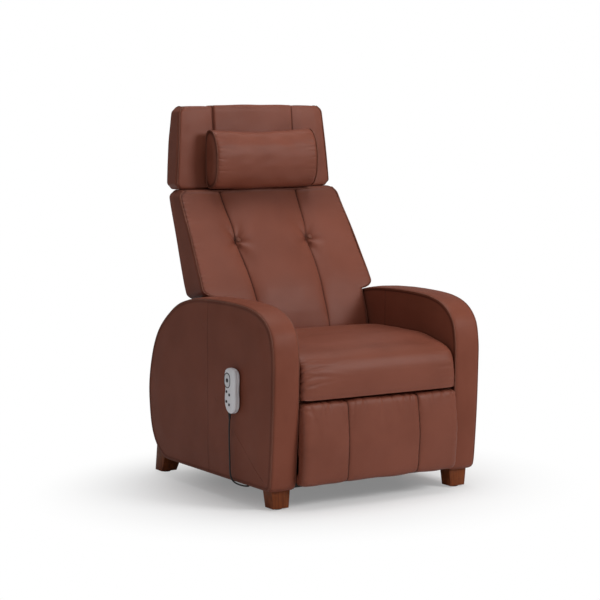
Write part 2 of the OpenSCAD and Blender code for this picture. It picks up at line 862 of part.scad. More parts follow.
// Back. Heights along the front and the rear face, with the distance behind the origin
top_round = 10;
top_edge = 2;
back_front_line = [[354, 66], [400, 60], [440, 54], [490, 66], [526, 79], [556, 91], [576, 100], [604, 115],
  [650, 143], [700, 173], [750, 205], [804, 243], [back_top - top_round, 273], [back_top - top_edge, 282]];
rear_top = [337, back_top - 2 * top_round];
rear_low = [112, 352];
back_slope = (rear_top[0] - rear_low[0]) / (rear_top[1] - rear_low[1]);
back_rake = atan(back_slope);
back_hw = half_gap - side_gap - 3;
wing_hw = half_gap + wing_over;
back_top_hw = half_gap + back_top_over;
wing_low = 553;
wing_high = 584;
wing_slope_share = 0.2;
back_seam_top = 137;
back_seam_low = 119;
tuft_z = 713;
tuft_x = 127;
tuft_y = 181;
tuft_tilt = 33;
tuft_depth = 12;
tuft_sink = 6;
wing_hinge_y = 90;

// The wings' underside slopes, so heights on the wings are measured along that slope
function wing_level(q) = q[1] + wing_slope_share * (q[0] - wing_hinge_y);
function rear_height(level) = max(rear_low[1], (level + wing_slope_share
  * (wing_hinge_y - rear_low[0] + back_slope * rear_low[1])) / (1 + wing_slope_share * back_slope));

// The rear face has a point for each one of the front face, at the same level on the wings
back_top_rear = [back_top - top_edge / 2, rear_top[0] - top_round];
back_rear_line = concat([for (i = [0 : len(back_front_line) - 2])
  let (p = back_front_line[i], z = rear_height(wing_level([p[1], p[0]])))
  [z, rear_low[0] + back_slope * (z - rear_low[1])]], [back_top_rear]);
back_outline = smooth_ring(concat([for (i = [len(back_rear_line) - 1 : -1 : 0])
  [back_rear_line[i][1], back_rear_line[i][0]]], [for (p = back_front_line) [p[1], p[0]]]), 2);
back_outline_ccw = [for (i = [len(back_outline) - 1 : -1 : 0]) back_outline[i]];
back_centre = [150, 560];

// Half width of the back: narrow between the arms, wide above them, tapering to the top
function back_reach(q) = let (level = wing_level(q),
    f = ease((level - wing_low) / (wing_high - wing_low)),
    up = clamp((q[1] - wing_high) / (back_top - wing_high), 0, 1))
  mix(back_hw, mix(wing_hw, back_top_hw, up), f);

function back_seam(z) = mix(back_seam_low, back_seam_top, clamp((z - 537) / (back_top - 537), 0, 1));
function front_of_back(z) = lookup(z, back_front_line);

// A station runs from 0 in the middle to 1 at the seam and 2 at the side
function back_x(s, q) = let (u = abs(s), seam = back_seam(q[1]))
  sign(s) * (u < 1 ? u * seam : seam + (u - 1) * (back_reach(q) - seam));

function back_push(x, q) = let (front = clamp((front_of_back(q[1]) + 30 - q[0]) / 22, 0, 1),
    groove = seam_dent(x, back_seam(q[1]), 12, 8),
    tuft = tuft_depth * exp(-(pow((abs(x) - tuft_x) / 26, 2) + pow((q[1] - tuft_z) / 34, 2))),
    along = front * max(groove, tuft))
  [along * cos(tuft_tilt), -along * sin(tuft_tilt)];

frame_gap = 0.4;

module back_cushion() {
  stations = both_ways([[0, 0], [0.4, 0], [0.7, 0], [0.9, 0], [1, 0], [1.09, 0], [1.25, 0], [1.55, 0],
    [1.8, 2], [1.93, 6], [2, 15]]);
  color(leather)
    difference() {
      rung_skin([for (s = stations)
        [for (q = back_ring(s[1])) let (x = back_x(s[0], q), m = back_push(x, q))
          [x, q[0] + m[0], q[1] + m[1]]]]);
      back_cavity();
      tuft_places()
        translate([0, 0, -tuft_sink - seat_gap])
          cylinder(r = tuft_r + seat_gap, h = 3 * tuft_r);
      both_sides() {
        cross_pin(frame_hw, back_hw + over, pivot_y, pivot_z, bracket_tab + over);
        post_shape(frame_gap);
        hinge_pocket();
      }
    }
}

// The two tufts, with Z out of the face of the back
module tuft_places() {
  both_sides()
    translate([tuft_x, tuft_y + tuft_depth * cos(tuft_tilt), tuft_z - tuft_depth * sin(tuft_tilt)])
      rotate([90 - tuft_tilt, 0, 0])
        children();
}

// The back's outline drawn in from the sides only, so that a long thin shape stays even
function back_ring(by) = [for (q = back_outline_ccw) let (mid = back_mid(q[1]), d = mid - q[0])
  [q[0] + sign(d) * min(abs(d), by), mix(q[1], back_centre[1], by / 300)]];
function back_mid(z) = (lookup(z, back_front_line) + lookup(z, back_rear_line)) / 2;

// The frame in the back lies along its rear face, which runs through the recline pivot.
// Along the back, n is the distance behind the pivot and t the distance up from it.
frame_t = 24;
frame_bar = 40;
frame_low_t = -10;
frame_top_gap = 20;
frame_len = (rear_top[1] - pivot_z) / cos(back_rake) - frame_low_t - frame_top_gap;
frame_rails_share = [0, 0.33, 0.66, 1];
web_t = 2;
web_w = 50;
web_count = 5;
frame_n = -frame_t - web_t - 3 * seat_gap - 1;
plate_reach = 120;

module along_back(x, n, t) {
  translate([0, pivot_y, pivot_z])
    rotate([-back_rake, 0, 0])
      translate([x, n, t])
        children();
}

function on_back(n, t) = [pivot_y + n * cos(back_rake) + t * sin(back_rake),
  pivot_z - n * sin(back_rake) + t * cos(back_rake)];

module back_frame() {
  color(wood)
    difference() {
      union() {
        for (s = [-1, 1])
          along_back(s > 0 ? frame_hw - frame_bar : -frame_hw, frame_n, frame_low_t)
            cube([frame_bar, frame_t, frame_len]);
        for (f = frame_rails_share)
          along_back(-frame_hw + over, frame_n, frame_low_t + f * (frame_len - frame_bar))
            cube([2 * (frame_hw - over), frame_t, frame_bar]);
      }
      along_back(drive_x - lever_t / 2 - seat_gap, frame_n - over, frame_low_t - over)
        cube([lever_t + 2 * seat_gap, frame_t + 2 * over, frame_bar + 2 * over]);
      both_sides()
        post_shape(seat_gap);
    }
}

// Room in the cushion for the frame and for the pivot plates beside it
module back_cavity() {
  deep = 6 * frame_t;
  along_back(-frame_hw - frame_gap, frame_n - frame_gap, -deep)
    cube([2 * (frame_hw + frame_gap), deep, frame_low_t + frame_len + deep + frame_gap]);
  along_back(-plate_x - plate_t - frame_gap, frame_n - frame_gap, -deep)
    cube([2 * (plate_x + plate_t + frame_gap), deep, plate_reach + deep + frame_gap]);
}

module back_webbing() {
  color(black)
    for (i = [0 : web_count - 1])
      along_back(-frame_hw + web_t, frame_n + frame_t + seat_gap, frame_len * (0.13 + 0.18 * i) - web_w / 2)
        cube([2 * (frame_hw - web_t), web_t, web_w]);
}

// The outside back panel, flat, with the outline of the back
cover_t = 7;
cover_inset = 9;
cover_low_t = frame_bar;
cover_high_t = (rear_top[1] - pivot_z) / cos(back_rake) - 4;
cover_wing_t = (wing_low - 14 - pivot_z) / cos(back_rake);
cover_step_t = 34;

module back_rear_cover() {
  low = back_hw - cover_inset;
  wing = wing_hw - cover_inset;
  high = back_top_hw - cover_inset;
  side = [[low, cover_low_t], [low, cover_wing_t], [wing, cover_wing_t + cover_step_t], [high, cover_high_t]];
  color(leather)
    along_back(0, seat_gap, 0)
      rotate([90, 0, 0])
        mirror([0, 0, 1])
          linear_extrude(cover_t)
            polygon(concat(side, [for (i = [len(side) - 1 : -1 : 0]) [-side[i][0], side[i][1]]]));
}

module back_pivot_plates() {
  color(steel)
    both_sides() {
      slab(plate_x, plate_t) {
        translate([pivot_y, pivot_z])
          circle(r = bracket_tab - bracket_t);
        polygon([on_back(frame_n + web_t, 0), on_back(0, 0), on_back(-2 * web_t, plate_reach / 2),
          on_back(-2 * web_t, plate_reach), on_back(frame_n + web_t, plate_reach)]);
      }
      cross_pin(plate_x, bracket_x + bracket_t, pivot_y, pivot_z, pin_r);
    }
}

// The lever is let into a slot in the bottom rail of the back's frame
lever_w = 24;
lever_tip_w = 10;
lever_root_w = 18;
lever_way = (lever_end - [pivot_y, pivot_z]) / back_lever_l;
lever_root = on_back(frame_n + frame_t / 2, frame_bar / 2);
lever_pin_half = 11;
function on_lever(along, off) =
  [pivot_y + lever_way[0] * along - lever_way[1] * off, pivot_z + lever_way[1] * along + lever_way[0] * off];
lever_half = [for (side = [1, -1]) [
  lever_root + [-lever_way[1], lever_way[0]] * side * lever_root_w / 2,
  on_lever(0, side * lever_w / 2),
  on_lever(back_lever_l + lever_tip_w / 2, side * lever_w / 2),
  on_lever(back_lever_l + lever_w / 2, side * lever_tip_w / 2)]];

module back_lever() {
  color(steel) {
    slab(drive_x - lever_t / 2, lever_t)
      polygon([for (p = lever_half[0]) p, for (i = [len(lever_half[1]) - 1 : -1 : 0]) lever_half[1][i]]);
    cross_pin(drive_x - lever_pin_half, drive_x + lever_pin_half, lever_end[0], lever_end[1], drive_pin_r);
  }
}

module tuft_buttons() {
  color(leather)
    tuft_places()
      rotate_extrude()
        polygon([[0, -tuft_sink], [tuft_r * 0.9, -tuft_sink], [tuft_r, -tuft_sink / 2], [tuft_r * 0.9, 0],
          [tuft_r * 0.5, tuft_r * 0.22], [0, tuft_r * 0.28]]);
}

// Headrest
head_front = 296;
head_tilt_top = 313;
head_back = 366;
head_h = head_top - head_bottom;
head_shares = [[0, 0.06], [0.02, 0.02], [0.1, 0], [0.5, 0], [0.9, 0], [0.99, 0.03], [1, 0.2], [1.07, 0.55],
  [1, 0.93], [0.93, 0.99], [0.6, 1], [0.35, 0.995], [0.24, 0.965], [0.2, 0.9], [0.08, 0.5], [0.02, 0.2]];
head_outline = smooth_ring([for (s = head_shares)
  [mix(head_front, head_back, s[0]), head_bottom + s[1] * head_h]], 2);
head_centre = [mix(head_front, head_back, 0.55), head_bottom + head_h * 0.5];
head_seam = 142;
head_panel_rise = 5;
head_bottom_hw = half_gap + head_over;
head_top_hw = head_bottom_hw - head_taper;

function head_reach(q) = mix(head_bottom_hw, head_top_hw, clamp((q[1] - head_bottom) / head_h, 0, 1));
function head_push(s, q) = let (x = abs(s * head_reach(q)),
    front = clamp((head_centre[0] - q[0]) / 20, 0, 1),
    rise = head_panel_rise * (1 - ease((x - head_seam + 6) / 10)),
    groove = seam_dent(x, head_seam + 2, 7, 3))
  [front * (groove - rise), 0];

board_hw = head_top_hw - 51;
board_low = head_bottom + 14;
board_y = 338;
head_board_t = 15;

module headrest_cushion() {
  stations = both_ways([[0, 0], [0.25, 0], [0.45, 0], [0.51, 0], [0.55, 0], [0.6, 0], [0.75, 0], [0.88, 1],
    [0.96, 5], [1, 14]]);
  color(leather)
    difference() {
      cushion(head_outline, head_centre, stations, function(q) head_reach(q),
        function(s, q) head_push(s, q));
      translate([-board_hw - seat_gap, board_y - seat_gap, board_low - 40])
        cube([2 * (board_hw + seat_gap), head_board_t + 2 * seat_gap, 40 + head_h * 0.8 + seat_gap]);
      both_sides()
        hinge_pocket();
    }
}

module headrest_board() {
  color(wood)
    difference() {
      translate([-board_hw, board_y, board_low])
        cube([2 * board_hw, head_board_t, head_h * 0.8]);
      both_sides()
        translate([hinge_x - seat_gap, board_y - over, board_low - over])
          cube([leaf_t + 2 * seat_gap, head_board_t + 2 * over, leaf_l + over + seat_gap]);
    }
}

// Neck pillow
pillow_z = 865;
pillow_back = 291.6;
pillow_shares = [[0.98, 0.12], [1, 0.35], [1, 0.65], [0.98, 0.88], [0.82, 0.99], [0.55, 1], [0.3, 0.93],
  [0.08, 0.75], [0, 0.5], [0.05, 0.25], [0.25, 0.07], [0.55, 0], [0.82, 0.01]];
pillow_outline = smooth_ring([for (s = pillow_shares)
  [pillow_back - pillow_t * (1 - s[0]), pillow_z + s[1] * pillow_h]], 2);
pillow_centre = [pillow_back - pillow_t / 2, pillow_z + pillow_h / 2];

module neck_pillow() {
  stations = both_ways([[0, 0], [0.5, 0], [0.8, 0], [0.93, 1], [0.96, 3], [0.985, 12], [1, 26]]);
  color(leather)
    cushion(pillow_outline, pillow_centre, stations, function(q) pillow_w / 2, function(s, q) [0, 0]);
}

// Headrest hinges: posts on the back carry the pins, leaves on the headrest turn on them
hinge_y = 332;
hinge_z = 862;
hinge_x = 110;
hinge_pin_r = 4;
hinge_r = 11;
leaf_t = 4;
leaf_l = 36;
hinge_pin_over = 1;
post_x = hinge_x - leaf_t - hinge_pin_over;
post_foot = on_back(frame_n + frame_t / 2, frame_len + frame_low_t - frame_bar / 2);

module headrest_hinges() {
  color(steel)
    both_sides()
      slab(hinge_x, leaf_t)
        difference() {
          union() {
            translate([hinge_y, hinge_z])
              circle(r = hinge_r);
            translate([board_y, hinge_z])
              square([head_board_t, board_low + leaf_l - hinge_z]);
            polygon([[board_y, hinge_z - hinge_r / 2], [board_y + head_board_t, hinge_z + hinge_r],
              [board_y, hinge_z + 2 * hinge_r]]);
          }
          translate([hinge_y, hinge_z])
            circle(r = hinge_pin_r + run_gap);
        }
}

// Room round a hinge, in the cushions above and below it
module hinge_pocket() {
  cross_pin(post_x - seat_gap, hinge_x + leaf_t + hinge_pin_over + seat_gap,
    hinge_y, hinge_z, hinge_r + seat_gap);
}

module post_shape(grow) {
  slab(post_x - grow, leaf_t + 2 * grow)
    bar_outline(post_foot, [hinge_y, hinge_z], 2 * hinge_r * 0.9 + 2 * grow);
}

module headrest_posts() {
  color(steel)
    both_sides() {
      post_shape(0);
      cross_pin(post_x, hinge_x + leaf_t + hinge_pin_over, hinge_y, hinge_z, hinge_pin_r);
    }
}

// Handset, hung on the outside of the left arm
arm_out = half_gap + arm_t;
clip_t = 3.4;
shell_back_t = 9;
handset_x = -arm_out - 2 * seat_gap - clip_t;
handset_shares = [[0, -0.5], [0.26, -0.455], [0.43, -0.35], [0.49, -0.2], [0.46, -0.05], [0.43, 0.08],
  [0.46, 0.22], [0.5, 0.34], [0.4, 0.45], [0.2, 0.495], [0, 0.5], [-0.25, 0.48], [-0.42, 0.42],
  [-0.5, 0.28], [-0.47, 0.1], [-0.46, -0.05], [-0.49, -0.2], [-0.45, -0.36], [-0.28, -0.46]];
handset_outline = smooth_ring([for (s = handset_shares)
  [s[0] * handset_w - handset_y, handset_z + (0.5 + s[1]) * handset_l]], 2);
handset_mid = [-handset_y, handset_z + handset_l / 2];

// A shell of the handset from depth a to depth b, each ring [depth, draw-in]
module handset_part(steps) {
  rings = [for (s = steps) [for (q = drawn_in(handset_outline, handset_mid, s[1]))
    [handset_x - s[0], q[0], q[1]]]];
  last = len(steps) - 1;
  ring_skin(rings, [handset_x - steps[0][0], handset_mid[0], handset_mid[1]],
    [handset_x - steps[last][0], handset_mid[0], handset_mid[1]]);
}

module handset_back() {
  t = shell_back_t;
  color("gray")
    handset_part([[t, 0], [t * 0.5, 0.6], [t * 0.15, 2.6], [0, 6]]);
}

key_depth = 5;
key_gap = 0.4;
key_lift = 1.6;
ring_key = [handset_mid[0] + handset_w * 0.14, handset_z + handset_l * 0.73];
ring_key_w = 27;
ring_key_h = 38;
centre_key_r = 6;
small_key_r = 4;
small_keys = [[0.2, 0.48], [-0.06, 0.42], [0.22, 0.26], [-0.04, 0.2]];

module key_hole(p, r) {
  translate([handset_x - handset_t - over, p[0], p[1]])
    rotate([0, 90, 0])
      cylinder(r = r, h = key_depth + over);
}

module oval(w, h) {
  r = w / 2;
  for (s = [-1, 1])
    translate([0, s * (h / 2 - r)])
      circle(r = r);
  square([w, h - w], center = true);
}

module handset_front() {
  t = handset_t;
  b = shell_back_t + seat_gap;
  color("lightgray")
    difference() {
      handset_part([[t, 11], [t - 0.8, 5], [t - 3, 1.4], [t - 6, 0], [b, 0]]);
      translate([0, ring_key[0], ring_key[1]])
        slab(handset_x - t - over, key_depth + over)
          oval(ring_key_w + 2 * key_gap, ring_key_h + 2 * key_gap);
      for (k = small_keys)
        key_hole([handset_mid[0] + k[0] * handset_w, handset_z + k[1] * handset_l], small_key_r + key_gap);
    }
}

module ring_button() {
  color("silver")
    translate([0, ring_key[0], ring_key[1]])
      slab(handset_x - handset_t - key_lift, key_depth)
        difference() {
          oval(ring_key_w, ring_key_h);
          circle(r = centre_key_r + key_gap);
        }
}

module key(p, r) {
  color(black)
    translate([handset_x - handset_t - key_lift, p[0], p[1]])
      rotate([0, 90, 0])
        cylinder(r = r, h = key_depth);
}

module small_button(i) {
  k = small_keys[i];
  key([handset_mid[0] + k[0] * handset_w, handset_z + k[1] * handset_l], small_key_r);
}

clip_w = 28;
clip_l = 60;
clip_up = 40;

module handset_clip() {
  color(black)
    translate([-arm_out - seat_gap - clip_t, -handset_y - clip_w / 2, handset_z + clip_up])
      cube([clip_t, clip_w, clip_l]);
}

// The cord leaves the handset's bottom off its middle
cord_x = handset_x - handset_t / 2;
boot_l = 20;
boot_off = 14;
boot_up = 2.4;

module cord_boot() {
  color(black)
    translate([cord_x, boot_off - handset_y, handset_z + boot_up - boot_l])
      cylinder(r1 = cord_d * 0.7, r2 = cord_d * 1.1, h = boot_l);
}

gland_at = [-332, -218];
gland_h = 3;

module cord_gland() {
  color(black)
    translate([gland_at[0], gland_at[1], base_z - gland_h])
      cylinder(r = cord_d * 1.3, h = gland_h);
}

// The cord's route from the boot, down the arm, round under its edge and up into the gland
cord_route = [[-368, -173, 237.4], [-368.3, -172, 228], [-368, -170, 212], [-367, -168, 190],
  [-366, -167, 160], [-365, -167, 128], [-364.5, -167, 98], [-363.8, -168.5, 78], [-362, -173, 65],
  [-358, -183, 56], [-351.5, -195, 51.5], [-344, -206, 49], [-337, -213.5, 48.3],
  [-332.8, -217.5, 48.9], [-332, -218, 51]];
cord_sides = 8;
cord_steps = 3;

function route_point(p, i, f) = curve_point(p[max(i - 1, 0)], p[i], p[i + 1], p[min(i + 2, len(p) - 1)], f);

module handset_cord() {
  path = concat([for (i = [0 : len(cord_route) - 2], k = [0 : cord_steps - 1])
    route_point(cord_route, i, k / cord_steps)], [cord_route[len(cord_route) - 1]]);
  n = len(path);
  r = cord_d / 2;
  rings = [for (i = [0 : n - 1])
    let (t = i == 0 ? [0, 0, -1] : i == n - 1 ? [0, 0, 1] : path[i + 1] - path[i - 1],
      u = cross([1, 0.3, 0], t), v = cross(t, u), a = u / norm(u), b = v / norm(v))
    [for (k = [0 : cord_sides - 1]) let (g = 360 * k / cord_sides) path[i] + r * (a * cos(g) + b * sin(g))]];
  color(black)
    ring_skin(rings, path[0], path[n - 1]);
}

floor_glides();
foot_bolts();
foot(-1, -1);  // front_foot_left
foot(1, -1);  // front_foot_right
foot(-1, 1);  // rear_foot_left
foot(1, 1);  // rear_foot_right
mirror([1, 0, 0]) arm_frame();  // arm_frame_left
arm_frame();  // arm_frame_right
mirror([1, 0, 0]) arm_cover();  // arm_cover_left
arm_cover();  // arm_cover_right
front_rail();
rear_rail();
rear_panel();
lining_board();
bottom_cloth();
seat_side_rails();
arm_bolts();
seat_cross_rails();
seat_springs();
seat_cushion();
pivot_brackets();
shaft_bushings();
motor_rails();
back_drive();
footrest_drive();
drive_brackets();
control_box();
power_inlet();
handset_clip();
handset_back();
handset_front();
cord_boot();
cord_gland();
handset_cord();
ring_button();
key(ring_key, centre_key_r);  // centre_button
small_button(0);  // small_button_1
small_button(1);  // small_button_2
small_button(2);  // small_button_3
small_button(3);  // small_button_4
back_rod();
footrest_rod();
footrest_shaft();
lift_links();
carrier_links();
footrest_board();
footrest_brackets();
footrest_pad();
back_frame();
back_pivot_plates();
back_lever();
back_webbing();
back_cushion();
back_rear_cover();
tuft_buttons();
headrest_posts();
headrest_hinges();
headrest_board();
headrest_cushion();
neck_pillow();
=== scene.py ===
"""Looks of a powered foot-care armchair: leather cushions, seams, wood, metal, handset, cord."""

import json
import logging
import math
from dataclasses import dataclass, field
from enum import Enum
from typing import Any, Callable, Iterable, Optional, Sequence, Union

import bmesh
import bpy
import numpy as np
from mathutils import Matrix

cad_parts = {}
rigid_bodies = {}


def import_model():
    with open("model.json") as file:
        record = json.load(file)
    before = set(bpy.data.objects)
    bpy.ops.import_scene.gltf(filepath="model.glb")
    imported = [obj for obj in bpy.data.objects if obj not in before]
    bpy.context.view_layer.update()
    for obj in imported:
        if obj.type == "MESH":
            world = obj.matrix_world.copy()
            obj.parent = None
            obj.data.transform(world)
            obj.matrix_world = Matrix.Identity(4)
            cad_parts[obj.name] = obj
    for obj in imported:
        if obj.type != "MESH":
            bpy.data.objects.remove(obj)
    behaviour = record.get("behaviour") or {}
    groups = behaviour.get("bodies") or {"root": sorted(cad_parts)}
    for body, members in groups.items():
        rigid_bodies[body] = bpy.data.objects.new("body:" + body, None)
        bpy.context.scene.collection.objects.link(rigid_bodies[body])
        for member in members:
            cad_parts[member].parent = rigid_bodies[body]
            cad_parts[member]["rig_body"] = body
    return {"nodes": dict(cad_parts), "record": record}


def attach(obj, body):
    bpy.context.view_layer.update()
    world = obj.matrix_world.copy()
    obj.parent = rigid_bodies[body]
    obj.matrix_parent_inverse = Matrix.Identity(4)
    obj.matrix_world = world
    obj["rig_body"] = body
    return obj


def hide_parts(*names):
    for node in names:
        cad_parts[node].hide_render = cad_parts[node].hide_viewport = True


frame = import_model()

Array = np.ndarray
Point = tuple[float, float, float]
Pair = tuple[float, float]
Rule = Callable[[Array], Array]
Change = Callable[[Array, Array], Array]

MM = 0.001
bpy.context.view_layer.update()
log = logging.getLogger("chair")


class Body(Enum):
    """The rigid bodies that pieces ride on."""

    BASE = "base"
    BACK = "back"
    HEADREST = "headrest"
    PILLOW = "pillow"
    LIFT = "lift"
    CARRIER = "carrier"
    FOOTREST = "footrest"
    RING_KEY = "ring_button"
    CENTRE_KEY = "centre_button"
    KEY_1 = "small_button_1"
    KEY_2 = "small_button_2"
    KEY_3 = "small_button_3"
    KEY_4 = "small_button_4"


class Side(Enum):
    """The two sides of the chair, as signs of X."""

    LEFT = -1
    RIGHT = 1

    @property
    def tag(self) -> str:
        """The side's word in names."""
        return self.name.lower()

    @property
    def mirror(self) -> Array:
        """Factors that take a right-hand piece to this side."""
        return np.array([float(self.value), 1.0, 1.0])


# ---------------------------------------------------------------- numbers and curves


def smooth(x: Array, low: float, high: float) -> Array:
    """Smooth step: 0 below low, 1 above high, 3g^2 - 2g^3 between.

    Args:
        x: Values to map.
        low: Where the step starts.
        high: Where the step ends.

    Returns:
        Values from 0 to 1.
    """
    g = np.clip((x - low) / (high - low), 0.0, 1.0)
    return g * g * (3.0 - 2.0 * g)


def bell(x: Array, width: float) -> Array:
    """Bell curve exp(-(x / width)^2)."""
    return np.exp(-((x / width) ** 2))


def dome(x: Array, half: Union[float, Array]) -> Array:
    """Half a cosine wave: 1 in the middle, 0 from plus and minus half outwards."""
    return np.cos(np.clip(x / (2 * half), -0.5, 0.5) * math.pi)


def groove(off: Array, shape: Pair) -> Array:
    """Depth beside a seam: the shape's first number at the seam, dying away over its second."""
    return shape[0] * np.exp(-off / shape[1])


def even(dense: Array, count: int, closed: bool) -> Array:
    """Spaces points evenly by length along a polyline.

    Args:
        dense: Points of the line, one row each.
        count: How many points to return.
        closed: Whether the last point joins the first.

    Returns:
        The evenly spaced points.
    """
    line = np.vstack([dense, dense[:1]]) if closed else dense
    run = np.concatenate([[0.0], np.cumsum(np.linalg.norm(np.diff(line, axis=0), axis=1))])
    at = np.linspace(0.0, run[-1], count + (1 if closed else 0))[:count]
    return np.stack([np.interp(at, run, line[:, k]) for k in range(line.shape[1])], axis=1)


def spline(a: Array, b: Array, c: Array, d: Array) -> Array:
    """Catmull-Rom arcs from b to c, 16 points each.

    Each is half of 2b + (c - a)f + (2a - 5b + 4c - d)f^2 + (3b - a - 3c + d)f^3, f from 0 to 1.

    Args:
        a: The points before b.
        b: The points where the arcs start.
        c: The points where they end.
        d: The points after c.

    Returns:
        The arcs' points in one row.
    """
    f = np.linspace(0.0, 1.0, 17)[:-1][None, :, None]
    a, b, c, d = (v[:, None, :] for v in (a, b, c, d))
    arcs = 2 * b + (c - a) * f + (2 * a - 5 * b + 4 * c - d) * f**2 + (3 * b - a - 3 * c + d) * f**3
    return (0.5 * arcs).reshape(-1, b.shape[2])


def closed_curve(points: Sequence[Sequence[float]], count: int) -> Array:
    """A smooth closed curve through given points, evenly spaced.

    Args:
        points: The points that the curve passes through.
        count: How many points to return.

    Returns:
        The points of the curve.
    """
    p = np.asarray(points, float)
    return even(spline(*(np.roll(p, s, axis=0) for s in (1, 0, -1, -2))), count, True)


def from_shares(shares: Sequence[Pair], start: Pair, size: Pair, count: int) -> Array:
    """A closed outline through shares of a piece's size: start + share * size.

    Args:
        shares: Shares of the size along both axes.
        start: The place of share (0, 0).
        size: The size along both axes.
        count: How many points to return.

    Returns:
        The points of the outline.
    """
    return closed_curve(np.asarray(start) + np.asarray(shares) * np.asarray(size), count)


def open_curve(points: Sequence[Sequence[float]], count: int) -> Array:
    """A smooth open curve through given points, evenly spaced.

    Args:
        points: The points that the curve passes through.
        count: How many points to return.

    Returns:
        The points of the curve.
    """
    p = np.asarray(points, float)
    q = np.vstack([p[:1], p, p[-1:]])
    dense = spline(q[:-3], q[1:-2], q[2:-1], q[3:])
    return even(np.vstack([dense, p[-1:]]), count, False)


def inward(outline: Array) -> Array:
    """Unit normals of a closed two-dimensional outline that point into it.

    Args:
        outline: The outline's points.

    Returns:
        One unit vector for each point.
    """
    t = np.roll(outline, -1, axis=0) - np.roll(outline, 1, axis=0)
    n = np.stack([-t[:, 1], t[:, 0]], axis=1)
    nxt = np.roll(outline, -1, axis=0)
    area = np.sum(outline[:, 0] * nxt[:, 1] - nxt[:, 0] * outline[:, 1])
    return math.copysign(1.0, area) * n / np.linalg.norm(n, axis=1)[:, None]


def waves(p: Array, seed: int, size: float, stretch: Point = (1.0, 1.0, 1.0),
          count: int = 14) -> Array:
    """Smooth uneven relief from -1 to 1: a sum of sines in random directions with a fixed seed.

    Args:
        p: Points in millimetres.
        seed: Which relief.
        size: Mean length of a wave in millimetres.
        stretch: Factors on the length of a wave along X, Y and Z.
        count: How many sines to add.

    Returns:
        One value for each point.
    """
    rng = np.random.default_rng(seed)
    way = rng.normal(size=(count, 3))
    way /= np.linalg.norm(way, axis=1)[:, None]
    pace = 2.0 * math.pi / (size * rng.uniform(0.6, 1.6, count))
    phase = rng.uniform(0.0, 2.0 * math.pi, count)
    angle = (p / np.asarray(stretch)) @ (way * pace[:, None]).T + phase
    return np.sin(angle).sum(axis=1) / math.sqrt(count)


# ---------------------------------------------------------------- meshes


def grid_faces(rows: int, columns: int, wrap: bool) -> Array:
    """Four-sided faces of a grid whose points are stored row by row.

    Args:
        rows: Number of rows.
        columns: Number of columns.
        wrap: Whether the last column joins the first.

    Returns:
        One row of four indices for each face.
    """
    i = np.arange(rows - 1)[:, None]
    j = np.arange(columns if wrap else columns - 1)[None, :]
    k = (j + 1) % columns
    low, high = i * columns, (i + 1) * columns
    return np.stack([low + j, low + k, high + k, high + j], -1).reshape(-1, 4)


def loft(edge: Array, stops: Iterable[Pair]) -> Array:
    """Rings across a piece: at each stop the outline is drawn in along its normals.

    Args:
        edge: The outline in (y, z).
        stops: The x and the inset of each ring.

    Returns:
        Rings by points by three.
    """
    way = inward(edge)
    rings = [np.column_stack([np.full(len(edge), x), edge + way * inset]) for x, inset in stops]
    return np.stack(rings)


def across(half: float, roll: Sequence[Pair], inner: Iterable[float]) -> list[Pair]:
    """Stops from end to end: the roll of one end, the plain stops, and the roll mirrored.

    Args:
        half: Half of the piece's width.
        roll: Distance from the end and inset of each rolled ring.
        inner: X of the plain rings between the ends.

    Returns:
        The x and the inset of each ring.
    """
    plain = [(float(x), 0.0) for x in inner]
    return [(d - half, i) for d, i in roll] + plain + [(half - d, i) for d, i in reversed(roll)]


def placed(name: str, data: Any) -> bpy.types.Object:
    """A new object in the scene, at the origin."""
    made = bpy.data.objects.new(name, data)
    bpy.context.scene.collection.objects.link(made)
    return made


@dataclass
class Shell:
    """Points and faces gathered from one or more patches.

    Attributes:
        points: The patches' points in millimetres.
        faces: The patches' faces.
        size: How many points have been gathered.
    """

    points: list[Array] = field(default_factory=list)
    faces: list[list[int]] = field(default_factory=list)
    size: int = 0

    def patch(self, grid: Array, wrap: bool = False) -> "Shell":
        """Adds a grid of points, rows by columns by three.

        Args:
            grid: The points.
            wrap: Whether the last column joins the first.

        Returns:
            This shell.
        """
        rows, columns = grid.shape[:2]
        self.faces += (grid_faces(rows, columns, wrap) + self.size).tolist()
        self.points.append(grid.reshape(-1, 3))
        self.size += rows * columns
        return self

    def rings(self, *grids: Array) -> "Shell":
        """Adds grids whose last column joins the first."""
        for grid in grids:
            self.patch(grid, wrap=True)
        return self

    def lid(self, ring: Array) -> "Shell":
        """Closes a flat ring of points with one face.

        Args:
            ring: The ring's points.

        Returns:
            This shell.
        """
        self.faces.append(list(range(self.size, self.size + len(ring))))
        self.points.append(ring)
        self.size += len(ring)
        return self

    def capped(self, rings: Array) -> "Shell":
        """Adds rings and closes the first and the last with a flat face."""
        return self.rings(rings).lid(rings[0]).lid(rings[-1])

    def object(self, name: str, join: float = 0.02) -> bpy.types.Object:
        """Makes the object: doubles merged, faces pointing outwards, smooth shading.

        Args:
            name: The object's name.
            join: Distance in millimetres under which points are merged.

        Returns:
            The new object, at the origin.
        """
        mesh = bpy.data.meshes.new(name)
        mesh.from_pydata((np.vstack(self.points) * MM).tolist(), [], self.faces)
        work = bmesh.new()
        work.from_mesh(mesh)
        bmesh.ops.remove_doubles(work, verts=work.verts, dist=join * MM)
        bmesh.ops.dissolve_degenerate(work, edges=work.edges, dist=join * MM * 0.5)
        bmesh.ops.recalc_face_normals(work, faces=work.faces)
        work.to_mesh(mesh)
        work.free()
        mesh.polygons.foreach_set("use_smooth", np.ones(len(mesh.polygons), bool))
        return placed(name, mesh)


